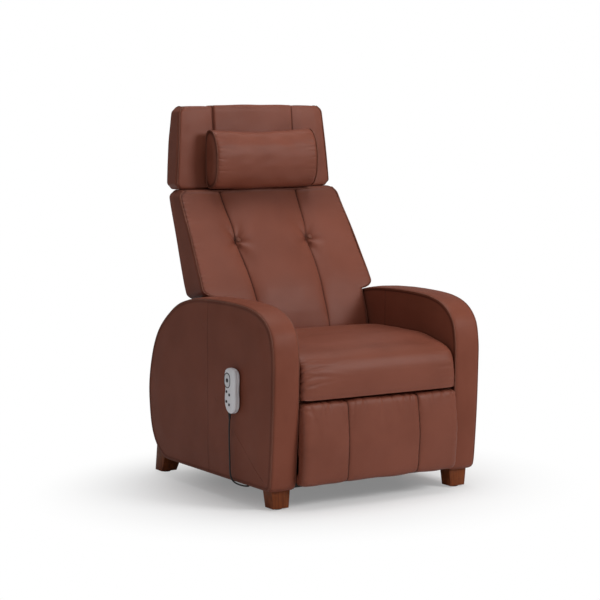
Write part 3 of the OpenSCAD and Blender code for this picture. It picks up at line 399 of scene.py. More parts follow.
def vectors(mesh: bpy.types.Mesh, kind: str) -> Array:
    """The places ("co") or normals ("normal") of a mesh's points, one row each."""
    flat = np.zeros(len(mesh.vertices) * 3, np.float32)
    mesh.vertices.foreach_get(kind, flat)
    return flat.reshape(-1, 3).astype(float)


def reshape(piece: bpy.types.Object, change: Change) -> None:
    """Moves a piece's points.

    Args:
        piece: The piece.
        change: Takes points in millimetres and unit normals, and gives new points.
    """
    mesh = piece.data
    mesh.update()
    moved = change(vectors(mesh, "co") / MM, vectors(mesh, "normal"))
    mesh.vertices.foreach_set("co", (moved * MM).astype(np.float32).ravel())
    mesh.update()


def paint(piece: bpy.types.Object, name: str, rule: Rule) -> None:
    """Stores a value from 0 to 1 on each point of a piece, for its material.

    Args:
        piece: The piece.
        name: The attribute's name.
        rule: The function of points in millimetres.
    """
    mesh = piece.data
    layer = mesh.attributes.new(name, "FLOAT", "POINT")
    values = np.clip(rule(vectors(mesh, "co") / MM), 0.0, 1.0)
    layer.data.foreach_set("value", values.astype(np.float32))


def tube_grid(path: Array, radius: Union[float, Array], sides: int, closed: bool) -> Array:
    """Rings round a path: a path point plus radius times the cos and sin of two frame vectors.

    The frame turns as little as possible from ring to ring, by carrying one normal along.

    Args:
        path: The path's points in millimetres.
        radius: The tube's radius, or one radius for each point.
        sides: Points in each ring.
        closed: Whether the path joins up.

    Returns:
        Rings by points by three.
    """
    if closed:
        t = np.roll(path, -1, axis=0) - np.roll(path, 1, axis=0)
    else:
        t = np.gradient(path, axis=0)
    t /= np.linalg.norm(t, axis=1)[:, None]
    up = np.zeros_like(t)
    start = np.eye(3)[np.argmin(np.abs(t[0]))]
    for i, way in enumerate(t):
        start = start - way * (start @ way)
        start = start / np.linalg.norm(start)
        up[i] = start
    beside = np.cross(t, up)
    twist = 0.0
    if closed:
        last = up[-1] - t[0] * (up[-1] @ t[0])
        twist = math.atan2(float(np.cross(last, up[0]) @ t[0]), float(last @ up[0]))
    turn = np.linspace(0, 2 * math.pi, sides, endpoint=False)
    turn = (twist * np.linspace(0.0, 1.0, len(path))[:, None] + turn)[..., None]
    size = np.broadcast_to(np.asarray(radius, float), (len(path),))[:, None, None]
    way = np.cos(turn) * up[:, None, :] + np.sin(turn) * beside[:, None, :]
    return path[:, None, :] + size * way


def tube(name: str, path: Array, radius: Union[float, Array], sides: int = 10,
         closed: bool = False) -> bpy.types.Object:
    """A round tube along a path, with closed ends or joined up.

    Args:
        name: The object's name.
        path: The path's points in millimetres.
        radius: The tube's radius, or one for each point.
        sides: Points in each ring.
        closed: Whether the path joins up.

    Returns:
        The new object.
    """
    rings = tube_grid(path, radius, sides, closed)
    if closed:
        return Shell().rings(np.vstack([rings, rings[:1]])).object(name)
    return Shell().capped(rings).object(name)


# ---------------------------------------------------------------- shader tools


Value = Union[float, Sequence[float], "Wire"]


class Wire:
    """An output socket with arithmetic: an expression on wires adds Math nodes to the tree."""

    def __init__(self, shader: "Shader", socket: bpy.types.NodeSocket) -> None:
        """Keeps the shader and the socket."""
        self.shader = shader
        self.socket = socket

    def _maths(self, operation: str, *values: Value) -> "Wire":
        """Adds one Math node with the given operation and values."""
        return self.shader.node("ShaderNodeMath", {"operation": operation}, dict(enumerate(values)))

    def __add__(self, other: Value) -> "Wire":
        """Sum."""
        return self._maths("ADD", self, other)

    __radd__ = __add__

    def __mul__(self, other: Value) -> "Wire":
        """Product."""
        return self._maths("MULTIPLY", self, other)

    __rmul__ = __mul__

    def __sub__(self, other: Value) -> "Wire":
        """Difference."""
        return self._maths("SUBTRACT", self, other)

    def __rsub__(self, other: Value) -> "Wire":
        """Difference the other way round."""
        return self._maths("SUBTRACT", other, self)

    def __truediv__(self, other: Value) -> "Wire":
        """Quotient."""
        return self._maths("DIVIDE", self, other)

    def __pow__(self, other: Value) -> "Wire":
        """Power."""
        return self._maths("POWER", self, other)

    def __abs__(self) -> "Wire":
        """Absolute value."""
        return self._maths("ABSOLUTE", self)

    def clamp(self, low: float = 0.0, high: float = 1.0) -> "Wire":
        """Limits the value to a range."""
        return self._maths("MINIMUM", self._maths("MAXIMUM", self, low), high)

    def step(self, low: float, high: float) -> "Wire":
        """Smooth step from low to high, as a Map Range node.

        Args:
            low: Where the step starts.
            high: Where the step ends.

        Returns:
            A wire from 0 to 1.
        """
        settings = {"interpolation_type": "SMOOTHSTEP"}
        values = {0: self, 1: low, 2: high, 3: 0.0, 4: 1.0}
        return self.shader.node("ShaderNodeMapRange", settings, values)


class Shader:
    """A material under construction, with one Principled shader."""

    def __init__(self, name: str) -> None:
        """Starts a material that holds only its output and a Principled shader.

        Args:
            name: The material's name.
        """
        self.material = bpy.data.materials.new(name)
        self.material.use_nodes = True
        self.tree = self.material.node_tree
        self.tree.nodes.clear()
        self.end = self.tree.nodes.new("ShaderNodeOutputMaterial")
        self.body = self.tree.nodes.new("ShaderNodeBsdfPrincipled")
        self.tree.links.new(self.body.outputs[0], self.end.inputs[0])

    def node(self, kind: str, settings: Optional[dict[str, Any]] = None,
             values: Optional[dict[Any, Value]] = None, out: Union[int, str] = 0) -> Wire:
        """Adds any node: its settings first, then the values or links of its sockets.

        Args:
            kind: The node's type.
            settings: Its settings; stops holds a ramp's (position, colour) pairs.
            values: A value or wire for each input, by name or place.
            out: Which output to return.

        Returns:
            A wire from that output.
        """
        made = self.tree.nodes.new(kind)
        for key, value in (settings or {}).items():
            if key == "stops":
                ramp = made.color_ramp
                while len(ramp.elements) < len(value):
                    ramp.elements.new(1.0)
                for element, (place, colour) in zip(ramp.elements, value):
                    element.position = place
                    element.color = colour
            else:
                setattr(made, key, value)
        for key, value in (values or {}).items():
            self.plug(made.inputs[key], value)
        return Wire(self, made.outputs[out])

    def plug(self, socket: bpy.types.NodeSocket, value: Value) -> None:
        """Gives a socket a link or a value."""
        if isinstance(value, Wire):
            self.tree.links.new(value.socket, socket)
        elif isinstance(value, (int, float)) and socket.type in ("RGBA", "VECTOR"):
            socket.default_value = (value,) * len(socket.default_value)
        elif socket.type == "RGBA" and len(value) == 3:
            socket.default_value = (*value, 1.0)
        else:
            socket.default_value = value

    def feed(self, **values: Value) -> "Shader":
        """Sets sockets of the Principled shader; an underscore in a name stands for a space."""
        for key, value in values.items():
            self.plug(self.body.inputs[key.replace("_", " ")], value)
        return self

    def place(self) -> Wire:
        """The Object coordinates."""
        return self.node("ShaderNodeTexCoord", out="Object")

    def axes(self, place: Wire) -> tuple[Wire, Wire, Wire]:
        """Splits a vector into its three numbers."""
        first = self.node("ShaderNodeSeparateXYZ", None, {0: place})
        outs = first.socket.node.outputs
        return Wire(self, outs[0]), Wire(self, outs[1]), Wire(self, outs[2])

    def stretched(self, place: Wire, scale: Sequence[float]) -> Wire:
        """A vector with each number multiplied."""
        values = {0: place, 1: tuple(scale)}
        return self.node("ShaderNodeVectorMath", {"operation": "MULTIPLY"}, values)

    def noise(self, place: Wire, scale: float, detail: float = 2.0, rough: float = 0.5,
              bend: float = 0.0) -> Wire:
        """A noise pattern from about 0 to 1."""
        values = {"Vector": place, "Scale": scale, "Detail": detail, "Roughness": rough,
                  "Distortion": bend}
        return self.node("ShaderNodeTexNoise", None, values)

    def mix(self, factor: Value, first: Value, second: Value) -> Wire:
        """Mixes two colours."""
        values = {0: factor, 6: first, 7: second}
        return self.node("ShaderNodeMix", {"data_type": "RGBA"}, values, out=2)

    def bump(self, height: Wire, depth: float, strength: float = 1.0) -> Wire:
        """Turns a height pattern into a normal.

        Args:
            height: The pattern, from 0 to 1.
            depth: Height in metres that 1 stands for.
            strength: How much of the effect to use.

        Returns:
            A wire for the Normal socket.
        """
        values = {"Strength": strength, "Distance": depth, "Height": height}
        return self.node("ShaderNodeBump", None, values)

    def attribute(self, name: str) -> Wire:
        """A number stored on the mesh's points."""
        return self.node("ShaderNodeAttribute", {"attribute_name": name}, out="Fac")


def line_mask(where: Wire, at: float, width: float) -> Wire:
    """1 on a line where a coordinate has a value, falling to 0 at its width on both sides."""
    return 1.0 - abs(where - at).step(0.0, width)


def toned(colour: Point, share: float) -> Point:
    """A colour made darker or lighter, no number past 1."""
    return tuple(min(1.0, c * share) for c in colour)


@dataclass(frozen=True)
class SeamLine:
    """A straight seam drawn on leather as a dip with painted shade in it, in metres.

    Attributes:
        axis: Which coordinate is constant along it: 0, 1 or 2.
        at: That coordinate's value.
        width: Half the width of the valley.
    """

    axis: int
    at: float
    width: float = 0.0016


@dataclass(frozen=True)
class Leather:
    """Brown grained leather: pebbles, pores, soft mottling, and painted shade darkening the valleys
    along the seams.

    Attributes:
        name: The material's name.
        deep: Colour in the hollows.
        lit: Colour on the crowns.
        grain: Pebbles in each metre.
        gloss: Strength of its reflections.
        seams: Straight seams drawn in the surface, as dips with painted shade.
    """

    name: str = "brown_leather"
    deep: Point = (0.150, 0.0425, 0.0240)
    lit: Point = (0.178, 0.0525, 0.0310)
    grain: float = 620.0
    gloss: float = 0.22
    seams: tuple[SeamLine, ...] = ()

    def make(self) -> bpy.types.Material:
        """Builds the material.

        Returns:
            The material.
        """
        s = Shader(self.name)
        place = s.place()
        wander = s.noise(place, 9.0, 3.0)
        soft = s.noise(place, 38.0, 2.0)
        coarse, fine = (
            s.node("ShaderNodeTexVoronoi", {"feature": "DISTANCE_TO_EDGE"},
                   {"Vector": place, "Scale": scale}) for scale in (self.grain, self.grain * 2.3))
        pebble = coarse.step(0.0, 0.22) * 0.75 + fine.step(0.0, 0.2) * 0.25
        pores = s.noise(place, 2600.0, 1.0)
        # Painted shade, stored on each padded piece: seam and welt valleys, tufts, and the top of
        # the back.
        crease = s.attribute("crease")
        height = pebble * 0.8 + pores * 0.2
        valley: Value = crease
        for seam in self.seams:
            line = line_mask(s.axes(place)[seam.axis], seam.at, seam.width)
            height = height - line * 6.0
            valley = line * 0.75 + valley
        colour = s.mix(wander.step(0.25, 0.75), self.deep, self.lit)
        worn = s.mix(pebble.clamp() * 0.22 + soft * 0.08, colour, toned(self.lit, 1.3))
        # Painted shade: the colour goes to a near-black brown where the valleys are.
        dark = s.mix(valley.clamp() * 0.86, worn, toned(self.deep, 0.16))
        rough = 0.44 + soft * 0.08 - pebble * 0.05 + valley.clamp() * 0.25
        s.feed(Base_Color=dark, Roughness=rough, Normal=s.bump(height, 0.00016, 0.5), IOR=1.46,
               Specular_IOR_Level=self.gloss)
        return s.material


@dataclass(frozen=True)
class StainedWood:
    """Stained and lacquered wood with upright grain.

    Attributes:
        name: The material's name.
        dark: Colour of the late wood.
        light: Colour of the early wood.
    """

    name: str = "stained_foot_wood"
    dark: Point = (0.098, 0.021, 0.0045)
    light: Point = (0.190, 0.047, 0.0110)

    def make(self) -> bpy.types.Material:
        """Builds the material.

        Returns:
            The material.
        """
        s = Shader(self.name)
        place = s.place()
        long = s.stretched(place, (1.0, 1.0, 0.09))
        rings = s.noise(long, 95.0, 4.0, 0.62, 0.6)
        fibres = s.noise(s.stretched(place, (1.0, 1.0, 0.03)), 900.0, 2.0)
        grain = rings.step(0.34, 0.66) * 0.75 + fibres * 0.25
        s.feed(Base_Color=s.mix(grain, self.dark, self.light), Roughness=0.34 + fibres * 0.12,
               Normal=s.bump(fibres + rings, 0.00012, 0.35), Specular_IOR_Level=0.15,
               Coat_Weight=0.04, Coat_Roughness=0.25)
        return s.material


@dataclass(frozen=True)
class SawnWood:
    """Pale sawn softwood with grain along X and saw marks.

    Attributes:
        name: The material's name.
        late: Colour of the late wood.
        early: Colour of the early wood.
    """

    name: str = "sawn_frame_wood"
    late: Point = (0.50, 0.31, 0.15)
    early: Point = (0.66, 0.47, 0.27)

    def make(self) -> bpy.types.Material:
        """Builds the material.

        Returns:
            The material.
        """
        s = Shader(self.name)
        place = s.place()
        rings = s.noise(s.stretched(place, (0.12, 1.0, 1.0)), 60.0, 5.0, 0.6, 0.9)
        saw = s.noise(s.stretched(place, (1.0, 0.04, 0.04)), 500.0, 1.0)
        s.feed(Base_Color=s.mix(rings.step(0.3, 0.7), self.late, self.early),
               Roughness=0.72 + saw * 0.1, Normal=s.bump(saw + rings, 0.0003, 0.35))
        return s.material


@dataclass(frozen=True)
class Woven:
    """Thin black woven lining or webbing: two crossed sets of threads.

    Attributes:
        name: The material's name.
        pitch: Threads in each metre.
        colour: The thread's colour.
    """

    name: str = "black_lining_cloth"
    pitch: float = 900.0
    colour: Point = (0.018, 0.018, 0.020)

    def make(self) -> bpy.types.Material:
        """Builds the material.

        Returns:
            The material.
        """
        s = Shader(self.name)
        place = s.place()
        x, y, z = s.axes(place)
        turns = self.pitch * 6.28
        warp, weft = (s.node("ShaderNodeMath", {"operation": "SINE"}, {0: way * turns})
                      for way in (x, y + z))
        weave = warp * weft * 0.5 + 0.5
        fluff = s.noise(place, 60.0, 3.0)
        tint = s.mix(weave * 0.6 + fluff * 0.4, self.colour, toned(self.colour, 3.2))
        s.feed(Base_Color=tint, Roughness=0.88, Normal=s.bump(weave, 0.00025, 0.5))
        return s.material


@dataclass(frozen=True)
class Metal:
    """Painted or plated steel with a faint drawn texture.

    Attributes:
        name: The material's name.
        colour: Its colour.
        metallic: 1 for bare or plated metal, 0 for paint.
        rough: Its mean roughness.
        drawn: Whether it has fine lines along Y.
    """

    name: str
    colour: Point
    metallic: float
    rough: float
    drawn: bool = False

    def make(self) -> bpy.types.Material:
        """Builds the material.

        Returns:
            The material.
        """
        s = Shader(self.name)
        place = s.place()
        threads = s.stretched(place, (1.0, 0.03, 1.0)) if self.drawn else place
        lines = s.noise(threads, 700.0 if self.drawn else 420.0, 2.0)
        dust = s.noise(place, 14.0, 3.0)
        tint = s.mix(dust, toned(self.colour, 0.8), toned(self.colour, 1.12))
        rough = self.rough + lines * 0.12 + dust * 0.06
        s.feed(Base_Color=tint, Metallic=self.metallic, Roughness=rough,
               Normal=s.bump(lines, 0.00005, 0.3))
        return s.material


@dataclass(frozen=True)
class Moulded:
    """Moulded plastic or rubber with a spark-eroded texture.

    Attributes:
        name: The material's name.
        colour: Its colour.
        rough: Its mean roughness.
        grain: Texture cells in each metre.
        depth: Depth of the texture in metres.
    """

    name: str
    colour: Point
    rough: float = 0.5
    grain: float = 1500.0
    depth: float = 0.00005

    def make(self) -> bpy.types.Material:
        """Builds the material.

        Returns:
            The material.
        """
        s = Shader(self.name)
        place = s.place()
        cells = s.noise(place, self.grain, 2.0)
        cloud = s.noise(place, 25.0, 2.0)
        tint = s.mix(cloud, toned(self.colour, 0.88), toned(self.colour, 1.08))
        s.feed(Base_Color=tint, Roughness=self.rough + cells * 0.1,
               Normal=s.bump(cells, self.depth, 0.4))
        return s.material


class Finish(Enum):
    """Every finish on the chair and the record's slot that it belongs to."""

    LEATHER = ("leather", Leather())
    # The arm leather's upright seam is drawn as a dip with painted shade in it.
    ARM_LEATHER = ("leather", Leather(
        "brown_leather_arm_panels", gloss=0.13, seams=(SeamLine(1, -0.024, 0.0015),)))
    WELT = ("leather", Leather(
        "brown_leather_welt", (0.110, 0.035, 0.020), (0.150, 0.050, 0.030), 1400.0))
    FOOT = ("foot_wood", StainedWood())
    TIMBER = ("frame_wood", SawnWood())
    DARK_WOOD = ("dark_wood", StainedWood(
        "black_stained_wood", (0.014, 0.011, 0.009), (0.034, 0.027, 0.021)))
    LINING = ("lining_cloth", Woven())
    WEBBING = ("lining_cloth", Woven("black_webbing", 420.0, (0.02, 0.02, 0.022)))
    BLACK_STEEL = ("black_steel", Metal("black_painted_steel", (0.022, 0.022, 0.024), 0.0, 0.38))
    ZINC = ("steel_parts", Metal("zinc_plated_steel", (0.55, 0.55, 0.54), 1.0, 0.26, True))
    GLIDE = ("glide_plastic", Moulded("black_glide_plastic", (0.02, 0.02, 0.02), 0.55))
    BUSHING = ("bushing_plastic", Moulded("ivory_bushing_plastic", (0.72, 0.68, 0.56), 0.42))
    BLACK_PLASTIC = ("black_plastic", Moulded("black_moulded_plastic", (0.022, 0.022, 0.024), 0.5))
    HANDSET = ("handset_plastic", Moulded(
        "grey_handset_plastic", (0.70, 0.69, 0.72), 0.42, 2600.0, 0.00003))
    RING = ("ring_plastic", Moulded(
        "silver_ring_plastic", (0.62, 0.62, 0.64), 0.3, 3000.0, 0.00002))
    KEY = ("key_plastic", Moulded("dark_key_plastic", (0.016, 0.012, 0.016), 0.4, 3000.0, 0.00002))
    RUBBER = ("black_rubber", Moulded("black_boot_rubber", (0.014, 0.013, 0.013), 0.62, 900.0))
    CORD = ("cord_rubber", Moulded("black_cord_jacket", (0.013, 0.012, 0.012), 0.5, 1800.0))

    @property
    def slot(self) -> str:
        """The record's material slot."""
        return self.value[0]

    @property
    def material(self) -> bpy.types.Material:
        """The material, made the first time that it is asked for."""
        found = bpy.data.materials.get(self.value[1].name)
        return found or self.value[1].make()


def dress(piece: bpy.types.Object, finish: Finish, body: Body, *nodes: str) -> bpy.types.Object:
    """Gives a piece its finish, the body that it rides on and the CAD nodes that it stands for.

    Args:
        piece: The piece.
        finish: Its finish.
        body: The body that it rides on.
        nodes: The CAD nodes that it replaces.

    Returns:
        The piece.
    """
    piece.data.materials.clear()
    piece.data.materials.append(finish.material)
    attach(piece, body.value)
    if nodes:
        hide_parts(*nodes)
    log.info("%s: %d faces, %s, rides on %s",
             piece.name, len(piece.data.polygons), finish.slot, body.value)
    return piece


# ---------------------------------------------------------------- camera, light and floor


@dataclass
class Studio:
    """The camera of the photograph, a pale floor and soft light.

    Attributes:
        eye: The camera's place in metres.
        heading: Turn of the view about the vertical, in degrees.
        dip: How far the view looks down, in degrees.
        lens: Focal length in millimetres on a 36 mm sensor.
        lamps: Name, place, aim, side in metres and power in watts of each square lamp.
        reach: Half of the floor's side in millimetres.
        haze: Share of white in the floor beside the chair.
        fade: Distances from the chair between which the floor turns white, in metres.
        surround: Strength of the light from all around.
    """

    eye: Point = (-3.1504, -4.9679, 1.170)
    heading: float = 32.18
    dip: float = 6.125
    lens: float = 119.1
    lamps: tuple[tuple[str, Point, Point, float, float], ...] = (
        ("key", (1.7, -3.1, 2.3), (0.0, -0.1, 0.6), 1.3, 80.0),
        ("fill", (-3.4, -2.2, 1.9), (0.0, 0.0, 0.5), 2.2, 16.0),
        ("top", (0.2, -0.1, 3.4), (0.0, 0.0, 0.4), 1.8, 46.0))
    reach: float = 30000.0
    haze: float = 0.22
    fade: Pair = (0.22, 0.78)
    surround: float = 0.25

    def build(self) -> None:
        """Makes the camera, the floor, the world and the lamps."""
        scene = bpy.context.scene
        scene.view_settings.view_transform = "Standard"
        data = bpy.data.cameras.new("camera")
        data.lens = self.lens
        data.sensor_width = 36.0
        camera = placed("camera", data)
        camera.location = self.eye
        camera.rotation_euler = (math.radians(90.0 - self.dip), 0.0, -math.radians(self.heading))
        scene.camera = camera
        self.floor()
        self.world()
        for lamp in self.lamps:
            self.lamp(*lamp)

    def lamp(self, name: str, at: Point, towards: Point, size: float, power: float) -> None:
        """Adds one square area lamp.

        Args:
            name: The lamp's name.
            at: Its place.
            towards: The point that it faces.
            size: Its side in metres.
            power: Its power in watts.
        """
        data = bpy.data.lights.new(name, "AREA")
        data.size = size
        data.energy = power
        lamp = placed(name, data)
        way = np.asarray(towards) - np.asarray(at)
        lamp.location = at
        tip = math.acos(-way[2] / np.linalg.norm(way))
        lamp.rotation_euler = (tip, 0.0, math.atan2(way[1], way[0]) - math.pi / 2)

    def floor(self) -> None:
        """A large pale floor that keeps the chair's shadow and runs out to white."""
        grid = np.zeros((2, 2, 3))
        grid[..., 0] = [-self.reach, self.reach]
        grid[..., 1] = [[-self.reach], [self.reach]]
        floor = Shell().patch(grid).object("floor")
        s = Shader("pale_floor")
        seen = s.node("ShaderNodeLightPath", out="Is Camera Ray")
        s.feed(Base_Color=(0.86, 0.86, 0.86), Roughness=0.9, Specular_IOR_Level=0.05)
        glow = s.node("ShaderNodeEmission", None, {0: (1.0, 1.0, 1.0), 1: 1.0})
        x, y, _ = s.axes(s.place())
        away = ((x + 0.05) ** 2.0 * 0.8 + (y + 0.1) ** 2.0) ** 0.5
        share = seen * (self.haze + (1.0 - self.haze) * away.step(*self.fade))
        plain = Wire(s, s.body.outputs[0])
        white = s.node("ShaderNodeMixShader", None, {0: share, 1: plain, 2: glow})
        s.tree.links.new(white.socket, s.end.inputs[0])
        floor.data.materials.append(s.material)

    def world(self) -> None:
        """A white surround: full white to the camera, and a soft level where it lights things."""
        world = bpy.data.worlds.new("surround")
        bpy.context.scene.world = world
        world.use_nodes = True
        tree = world.node_tree
        tree.nodes.clear()
        out = tree.nodes.new("ShaderNodeOutputWorld")
        back = tree.nodes.new("ShaderNodeBackground")
        back.inputs[0].default_value = (1.0, 1.0, 1.0, 1.0)
        path = tree.nodes.new("ShaderNodeLightPath")
        level = tree.nodes.new("ShaderNodeMapRange")
        level.inputs[3].default_value = self.surround
        level.inputs[4].default_value = 1.0
        tree.links.new(path.outputs["Is Camera Ray"], level.inputs[0])
        tree.links.new(level.outputs[0], back.inputs[1])
        tree.links.new(back.outputs[0], out.inputs[0])


# ---------------------------------------------------------------- handset and cord


@dataclass
class Handset:
    """The wired handset on the outside of the left arm, in millimetres.

    Attributes:
        centre: Its middle in (y, z).
        face: X of its back face.
        width: Its width.
        height: Its length.
        thick: Its thickness.
        outline: Shares of the width and height round its edge.
        ring_at: Shares of the ring button's middle, from the middle of the handset.
        ring_size: Width and height of the ring button.
        keys: Shares of the small buttons' middles.
        count: Points round its edge.
    """

    centre: Pair = (-187.0, 319.5)
    face: float = -357.0
    width: float = 58.0
    height: float = 129.0
    thick: float = 22.0
    outline: tuple[Pair, ...] = (
        (0, -0.5), (0.26, -0.455), (0.43, -0.35), (0.49, -0.2), (0.46, -0.05), (0.43, 0.08),
        (0.46, 0.22), (0.5, 0.34), (0.4, 0.45), (0.2, 0.495), (0, 0.5), (-0.25, 0.48),
        (-0.42, 0.42), (-0.5, 0.28), (-0.47, 0.1), (-0.46, -0.05), (-0.49, -0.2), (-0.45, -0.36),
        (-0.28, -0.46))
    ring_at: Pair = (0.14, 0.23)
    ring_size: Pair = (27.0, 38.0)
    keys: tuple[Pair, ...] = ((0.2, -0.02), (-0.06, -0.08), (0.22, -0.24), (-0.04, -0.3))
    count: int = 160

    def spot(self, share: Pair) -> Pair:
        """A place on the face from its shares of width and height."""
        return self.centre[0] + share[0] * self.width, self.centre[1] + share[1] * self.height

    def part(self, name: str, rings: Sequence[Pair]) -> bpy.types.Object:
        """A shell of nested outlines, closed at both ends.

        Args:
            name: The object's name.
            rings: Depth from the back face and inset of each ring.

        Returns:
            The new object.
        """
        edge = from_shares(self.outline, self.centre, (self.width, self.height), self.count)
        stops = [(self.face - depth, inset) for depth, inset in rings]
        return Shell().capped(loft(edge, stops)).object(name)

    def oval(self, size: Pair, count: int) -> Array:
        """A rounded slot shape about the origin: two half circles and two straights."""
        r = size[0] / 2
        turn = np.linspace(0, 2 * math.pi, count, endpoint=False)
        straight = np.sign(np.sin(turn)) * (size[1] / 2 - r)
        return np.stack([r * np.cos(turn), r * np.sin(turn) + straight], axis=1)

    def button(self, name: str, at: Pair, edge: Array, top: float, dish: float) -> bpy.types.Object:
        """A key: its edge swept up from inside the shell, rounded over, dished or domed.

        Args:
            name: The object's name.
            at: Its middle in (y, z).
            edge: Its outline about the origin.
            top: How far it stands out of the face.
            dish: How far its middle rises above its rim.

        Returns:
            The new object.
        """
        steps = [
            (1.0, -3.4), (1.0, top - 0.7), (0.985, top - 0.25), (0.94, top),
            (0.8, top + dish * 0.4), (0.5, top + dish * 0.8), (0.2, top + dish), (0.02, top + dish)]
        face = self.face - self.thick
        rings = [np.column_stack([np.full(len(edge), face - rise), edge * f + np.asarray(at)])
                 for f, rise in steps]
        return Shell().capped(np.stack(rings)).object(name)

    def build(self) -> None:
        """Makes the two shells, the ring, the keys and the dark tube of painted shade round the
        ring.
        """
        t = self.thick
        rear = [(9.0, 0.0), (5.5, 0.3), (3.0, 1.2), (1.2, 3.0), (0.3, 5.2), (0.0, 7.5)]
        front = [
            (9.3, 0.5), (9.9, 0.0), (t - 7, 0.0), (t - 4.5, 0.7), (t - 2.6, 2.2), (t - 1.2, 4.6),
            (t - 0.4, 8.0), (t, 12.0)]
        dress(self.part("handset_rear_shell", rear), Finish.HANDSET, Body.BASE, "handset_back")
        dress(self.part("handset_front_shell", front), Finish.HANDSET, Body.BASE, "handset_front")
        for name, share, size, finish, top, dish in self.key_table():
            piece = self.button(name + "_cap", self.spot(share), self.oval(size, 64), top, dish)
            dress(piece, finish, Body(name), name)
        self.surround()

    def key_table(self) -> list[tuple[str, Pair, Pair, Finish, float, float]]:
        """Name, place, size, finish, height and dish of each button."""
        small = [(f"small_button_{i}", at, (8.0, 8.01), Finish.KEY, 1.4, 0.4)
                 for i, at in enumerate(self.keys, 1)]
        return [("ring_button", self.ring_at, self.ring_size, Finish.RING, 1.0, -0.5),
                ("centre_button", self.ring_at, (12.0, 12.01), Finish.KEY, 1.6, 0.5), *small]

    def surround(self) -> None:
        """Painted shade: a thin dark tube laid in the face stands for the shade in the groove round
        the ring button.
        """
        wide, tall = (size + 3.4 for size in self.ring_size)
        edge = self.oval((wide, tall), 96) + self.spot(self.ring_at)
        path = np.column_stack([np.full(len(edge), self.face - self.thick + 0.5), edge])
        # Painted shade of the groove, made as a dark plastic tube.
        dress(tube("ring_groove_painted_shade", path, 1.6, 8, closed=True), Finish.KEY, Body.BASE)


@dataclass
class Cord:
    """The handset's cord: a limp lead that hangs from its boot and runs back up under the arm.

    Attributes:
        route: The points that it follows, in millimetres.
        width: Its diameter.
        boot_long: Length of its boot.
        boot_ends: Radius of the boot at its bottom and its top.
        groove: Distance between the boot's grooves.
    """

    route: tuple[Point, ...] = (
        (-368, -173, 237.4), (-368.3, -172, 228), (-368, -170, 212), (-367, -168, 190),
        (-366, -167, 160), (-365, -167, 128), (-364.5, -167, 98), (-363.8, -168.5, 78),
        (-362, -173, 65), (-358, -183, 56), (-351.5, -195, 51.5), (-344, -206, 49),
        (-337, -213.5, 48.3), (-332.8, -217.5, 48.9), (-332, -218, 51))
    width: float = 4.6
    boot_long: float = 20.0
    boot_ends: Pair = (3.2, 5.1)
    groove: float = 4.0

    def build(self) -> None:
        path = open_curve(self.route, 140)
        cord = tube("handset_lead", path, self.width / 2, 12)
        dress(cord, Finish.CORD, Body.BASE, "handset_cord")
        boot = self.boot(path[0])

    def boot(self, top: Array) -> bpy.types.Object:
        """The ribbed rubber boot: a turned profile whose radius dips at each groove.

        Args:
            top: Where the cord starts.

        Returns:
            The new object.
        """
        h = np.linspace(0.0, self.boot_long, 60)
        r = np.interp(h, (0.0, self.boot_long), self.boot_ends)
        ribbed = h < self.boot_long - self.groove
        r -= 0.55 * bell((h % self.groove) - self.groove / 2, 0.6) * ribbed
        path = top + h[:, None] * np.array([0.0, 0.0, 1.0])
        return dress(tube("cord_relief", path, r, 28), Finish.RUBBER, Body.BASE, "cord_boot")


# ---------------------------------------------------------------- upholstery


@dataclass(frozen=True)
class Fold:
    """A gather or wrinkle that starts at a seam and dies away from it.

    Attributes:
        at: Its place along the seam, in millimetres.
        deep: Depth of the valley.
        wide: Its width.
        reach: How far it runs from the seam.
        lean: How far it drifts along the seam for each millimetre of its run.
    """

    at: float
    deep: float
    wide: float
    reach: float
    lean: float = 0.0

    def depth(self, along: Array, away: Array) -> Array:
        """Valley with soft ridges beside it: a bell's second derivative times a decay.

        Args:
            along: Distance along the seam.
            away: Distance from the seam.

        Returns:
            How far the leather goes in.
        """
        away = np.maximum(away, 0.0)
        q = (along - self.at - self.lean * away) / (self.wide * (1.0 + 0.5 * away / self.reach))
        fade = np.exp(-((away / self.reach) ** 1.4))
        return self.deep * (1.0 - 1.1 * q**2) * np.exp(-(q**2)) * fade


def folded(folds: Iterable[Fold], along: Array, away: Array) -> Array:
    """Sum of the depths of several folds."""
    return sum((f.depth(along, away) for f in folds), np.zeros_like(along))


def gathers(seed: int, low: float, high: float, step: float, deep: float,
            reach: float) -> list[Fold]:
    """Uneven gathers along a seam, with a fixed seed.

    Args:
        seed: Which set.
        low: Start along the seam.
        high: End along the seam.
        step: Mean distance between gathers.
        deep: Mean depth.
        reach: Mean reach.

    Returns:
        The folds.
    """
    rng = np.random.default_rng(seed)
    places = np.arange(low, high, step)
    places = places + rng.uniform(-0.35, 0.35, len(places)) * step
    return [Fold(float(p), deep * float(rng.uniform(0.3, 1.3)),
                 step * float(rng.uniform(0.16, 0.32)), reach * float(rng.uniform(0.5, 1.4)),
                 float(rng.uniform(-0.25, 0.25))) for p in places]


def edge_distance(spots: Array, outline: Array) -> Array:
    """Distance from points to a closed outline, over all its segments.

    Args:
        spots: Points in the plane; the last axis holds their two numbers.
        outline: The outline's points.

    Returns:
        One distance for each point.
    """
    step = np.roll(outline, -1, axis=0) - outline
    flat = spots.reshape(-1, 2)
    best = np.full(len(flat), np.inf)
    for a, d in zip(outline, step):
        off = flat - a
        f = np.clip((off @ d) / (d @ d + 1e-12), 0.0, 1.0)[:, None]
        best = np.minimum(best, np.linalg.norm(off - f * d, axis=1))
    return best.reshape(spots.shape[:-1])


